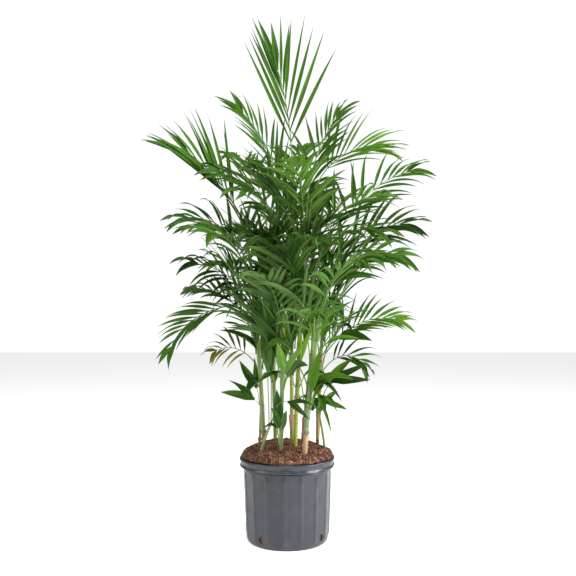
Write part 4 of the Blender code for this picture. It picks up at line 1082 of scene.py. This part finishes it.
def add_pot():
    """The pot as one closed body: ridged wall, moulded rim with dents, and drain holes cut through.

    The columns and rows near a hole are drawn from a square towards its oval, the squares inside it are
    left out, and quads join the two walls round it.
    """
    rows = pot_rows()
    kind = np.array([row[0] for row in rows])
    radius = np.array([row[1] for row in rows])[:, None]
    turn = np.linspace(0, 2 * math.pi, POT_COLUMNS, endpoint=False)[None] + np.zeros_like(radius)
    height = np.array([row[2] for row in rows])[:, None] + np.zeros_like(turn)
    left_out = np.zeros(turn.shape, bool)
    outer = np.flatnonzero(kind == "wall")
    inner = np.flatnonzero(kind == "inside")[::-1]
    step = DRAIN_TALL / 2 / HOLE_ROWS
    for degrees in DRAIN_DEGREES:
        middle = round(degrees / 360 * POT_COLUMNS)
        columns = np.arange(middle - DRAWN_COLUMNS, middle + DRAWN_COLUMNS + 1) % POT_COLUMNS
        across = np.arange(-DRAWN_COLUMNS, DRAWN_COLUMNS + 1) / HOLE_COLUMNS
        upwards = np.arange(-DRAWN_ROWS, DRAWN_ROWS + 1)[:, None] / HOLE_ROWS
        size = np.maximum(np.abs(across), np.abs(upwards))
        most = np.maximum(DRAWN_COLUMNS / HOLE_COLUMNS, DRAWN_ROWS / HOLE_ROWS)
        drawn = np.clip((most - size) / (most - 1), 0, 1)
        unit_across = across / np.maximum(size, 1e-9)
        unit_up = upwards / np.maximum(size, 1e-9)
        oval_across = size * unit_across * np.sqrt(1 - unit_up**2 / 2)
        oval_up = size * unit_up * np.sqrt(1 - unit_across**2 / 2)
        plain = across * HOLE_COLUMNS * 2 * math.pi / POT_COLUMNS
        oval = oval_across * DRAIN_WIDTH / 2 / WALL_FOOT_RADIUS
        centre = math.radians(degrees)
        for layer in (outer, inner):
            patch = np.ix_(layer[: 2 * DRAWN_ROWS + 1], columns)
            turn[patch] = centre + plain * (1 - drawn) + oval * drawn
            height[patch] = DRAIN_HEIGHT + step * HOLE_ROWS * (upwards * (1 - drawn) + oval_up * drawn)
        hole_rows = outer[DRAWN_ROWS - HOLE_ROWS : DRAWN_ROWS + HOLE_ROWS]
        hole_columns = np.arange(middle - HOLE_COLUMNS, middle + HOLE_COLUMNS) % POT_COLUMNS
        left_out[np.ix_(hole_rows, hole_columns)] = True
    share = (height - FOOT_ROUND) / (POT_HEIGHT - RIM_BAND - FOOT_ROUND)
    wall = WALL_FOOT_RADIUS + (WALL_TOP_RADIUS - WALL_FOOT_RADIUS) * share
    ridged = wall + flute_relief(turn, height)
    radius = np.where((kind == "wall")[:, None], ridged, radius)
    radius = np.where((kind == "inside")[:, None], wall - WALL, radius + np.zeros_like(turn))
    round_pot = np.stack([np.cos(turn), np.sin(turn), height * 12], axis=-1)
    rim = smooth((height - (POT_HEIGHT - RIM_BAND - 0.02)) / 0.03) * (kind != "inside")[:, None]
    radius = radius + 0.0007 * noise(round_pot, 0.35, 8) * (height > 0.012) * (kind != "inside")[:, None]
    radius = radius + 0.0016 * noise(round_pot, 0.22, 9) * rim
    height = height + 0.0022 * rim * (noise(round_pot * (1, 1, 0), 0.25, 10) - 0.6)
    for degrees, low, width, depth in RIM_DENTS:
        off = np.degrees(turn - math.radians(degrees) + math.pi) % 360 - 180
        dent = np.exp(-((off / width) ** 2)) * np.exp(-(((height - low) / 0.007) ** 2))
        radius = radius - depth * dent * (kind != "inside")[:, None]
    points = np.stack([radius * np.cos(turn), radius * np.sin(turn), height], axis=-1)
    index = np.arange(turn.size).reshape(turn.shape)
    beside = np.roll(index, -1, axis=1)
    quads = np.stack([index[:-1], beside[:-1], beside[1:], index[1:]], axis=-1)
    partner = np.zeros(len(rows), int)
    partner[outer] = inner
    removed = left_out[:-1].copy()
    hole_faces = np.argwhere(left_out)
    removed[partner[hole_faces[:, 0]] - 1, hole_faces[:, 1]] = True
    faces = quads[~removed].tolist() + [index[0, ::-1].tolist(), index[-1].tolist()]
    edges = []
    for row, column in hole_faces:
        for row_step, column_step, first, second in ((0, -1, (0, 0), (1, 0)), (0, 1, (1, 1), (0, 1)),
                                                     (-1, 0, (0, 1), (0, 0)), (1, 0, (1, 0), (1, 1))):
            if not left_out[row + row_step, (column + column_step) % POT_COLUMNS]:
                one = (row + first[0], (column + first[1]) % POT_COLUMNS)
                two = (row + second[0], (column + second[1]) % POT_COLUMNS)
                edges.append((index[one], index[two], index[partner[two[0]], two[1]], index[partner[one[0]], one[1]]))
    mesh = bpy.data.meshes.new("pot_shell")
    mesh.from_pydata(points.reshape(-1, 3).tolist(), [], faces + [list(map(int, edge)) for edge in edges])
    add_piece("pot_shell", mesh, [pot_material()], ["pot"], 40)


def add_light(name, place, size, power, colour=(1.0, 1.0, 1.0)):
    """A soft square lamp that faces the middle of the plant."""
    lamp = bpy.data.lights.new(name, "AREA")
    lamp.size = size
    lamp.energy = power
    lamp.color = colour
    holder = bpy.data.objects.new(name, lamp)
    bpy.context.scene.collection.objects.link(holder)
    holder.location = place
    aim = np.array([0.0, 0.0, 0.7]) - np.array(place)
    holder.rotation_euler = (math.acos(-aim[2] / np.linalg.norm(aim)), 0.0, math.atan2(-aim[0], aim[1]))


def add_studio():
    """A pale floor, white surroundings, three soft lamps and the camera of the photo."""
    floor = bpy.data.meshes.new("floor")
    floor.from_pydata([(-8, -8, 0), (8, -8, 0), (8, 8, 0), (-8, 8, 0)], [], [(0, 1, 2, 3)])
    material = bpy.data.materials.new("Floor white")
    material.use_nodes = True
    shader = material.node_tree.nodes["Principled BSDF"]
    shader.inputs["Base Color"].default_value = (0.90, 0.90, 0.90, 1.0)
    shader.inputs["Emission Color"].default_value = (1.0, 1.0, 1.0, 1.0)
    shader.inputs["Emission Strength"].default_value = 0.60
    shader.inputs["Roughness"].default_value = 0.8
    floor.materials.append(material)
    stage = bpy.data.objects.new("floor", floor)
    bpy.context.scene.collection.objects.link(stage)
    world = bpy.data.worlds.new("White studio")
    world.use_nodes = True
    tree = world.node_tree
    dim = tree.nodes["Background"]
    dim.inputs["Color"].default_value = (1.0, 1.0, 1.0, 1.0)
    dim.inputs["Strength"].default_value = 0.25
    seen = add_node(tree, "Background", Color=(1.0, 1.0, 1.0, 1.0), Strength=1.05)
    backdrop = add_node(tree, "MixShader", input0=add_node(tree, "LightPath").outputs["Is Camera Ray"])
    tree.links.new(dim.outputs[0], backdrop.inputs[1])
    tree.links.new(seen.outputs[0], backdrop.inputs[2])
    tree.links.new(backdrop.outputs[0], tree.nodes["World Output"].inputs["Surface"])
    bpy.context.scene.world = world
    add_light("lamp_left", (-2.3, -0.9, 1.7), 1.4, 30)
    add_light("lamp_right", (2.3, -0.8, 1.4), 1.0, 90)
    add_light("lamp_above", (0.3, -0.9, 3.4), 1.6, 75)
    camera = bpy.data.cameras.new("camera")
    camera.lens = 45.44
    camera.sensor_width = 36.0
    holder = bpy.data.objects.new("camera", camera)
    bpy.context.scene.collection.objects.link(holder)
    camera.shift_y = 0.031
    holder.location = (0.002, -2.0, 0.64)
    holder.rotation_euler = (math.radians(90.0), 0.0, 0.0)
    bpy.context.scene.camera = holder
    bpy.context.scene.view_settings.view_transform = "Standard"


def main():
    """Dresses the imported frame."""
    frames = {frond.name: frond_frame(frond) for frond in FRONDS}
    inner_frames = [(frond, frond_frame(frond)) for frond in inner_fronds()]
    add_pot()
    add_mix()
    add_canes()
    add_sheaths()
    add_spear()
    add_ribs(frames, inner_frames)
    add_stalks()
    add_leaflets(frames, inner_frames)
    add_studio()


main()
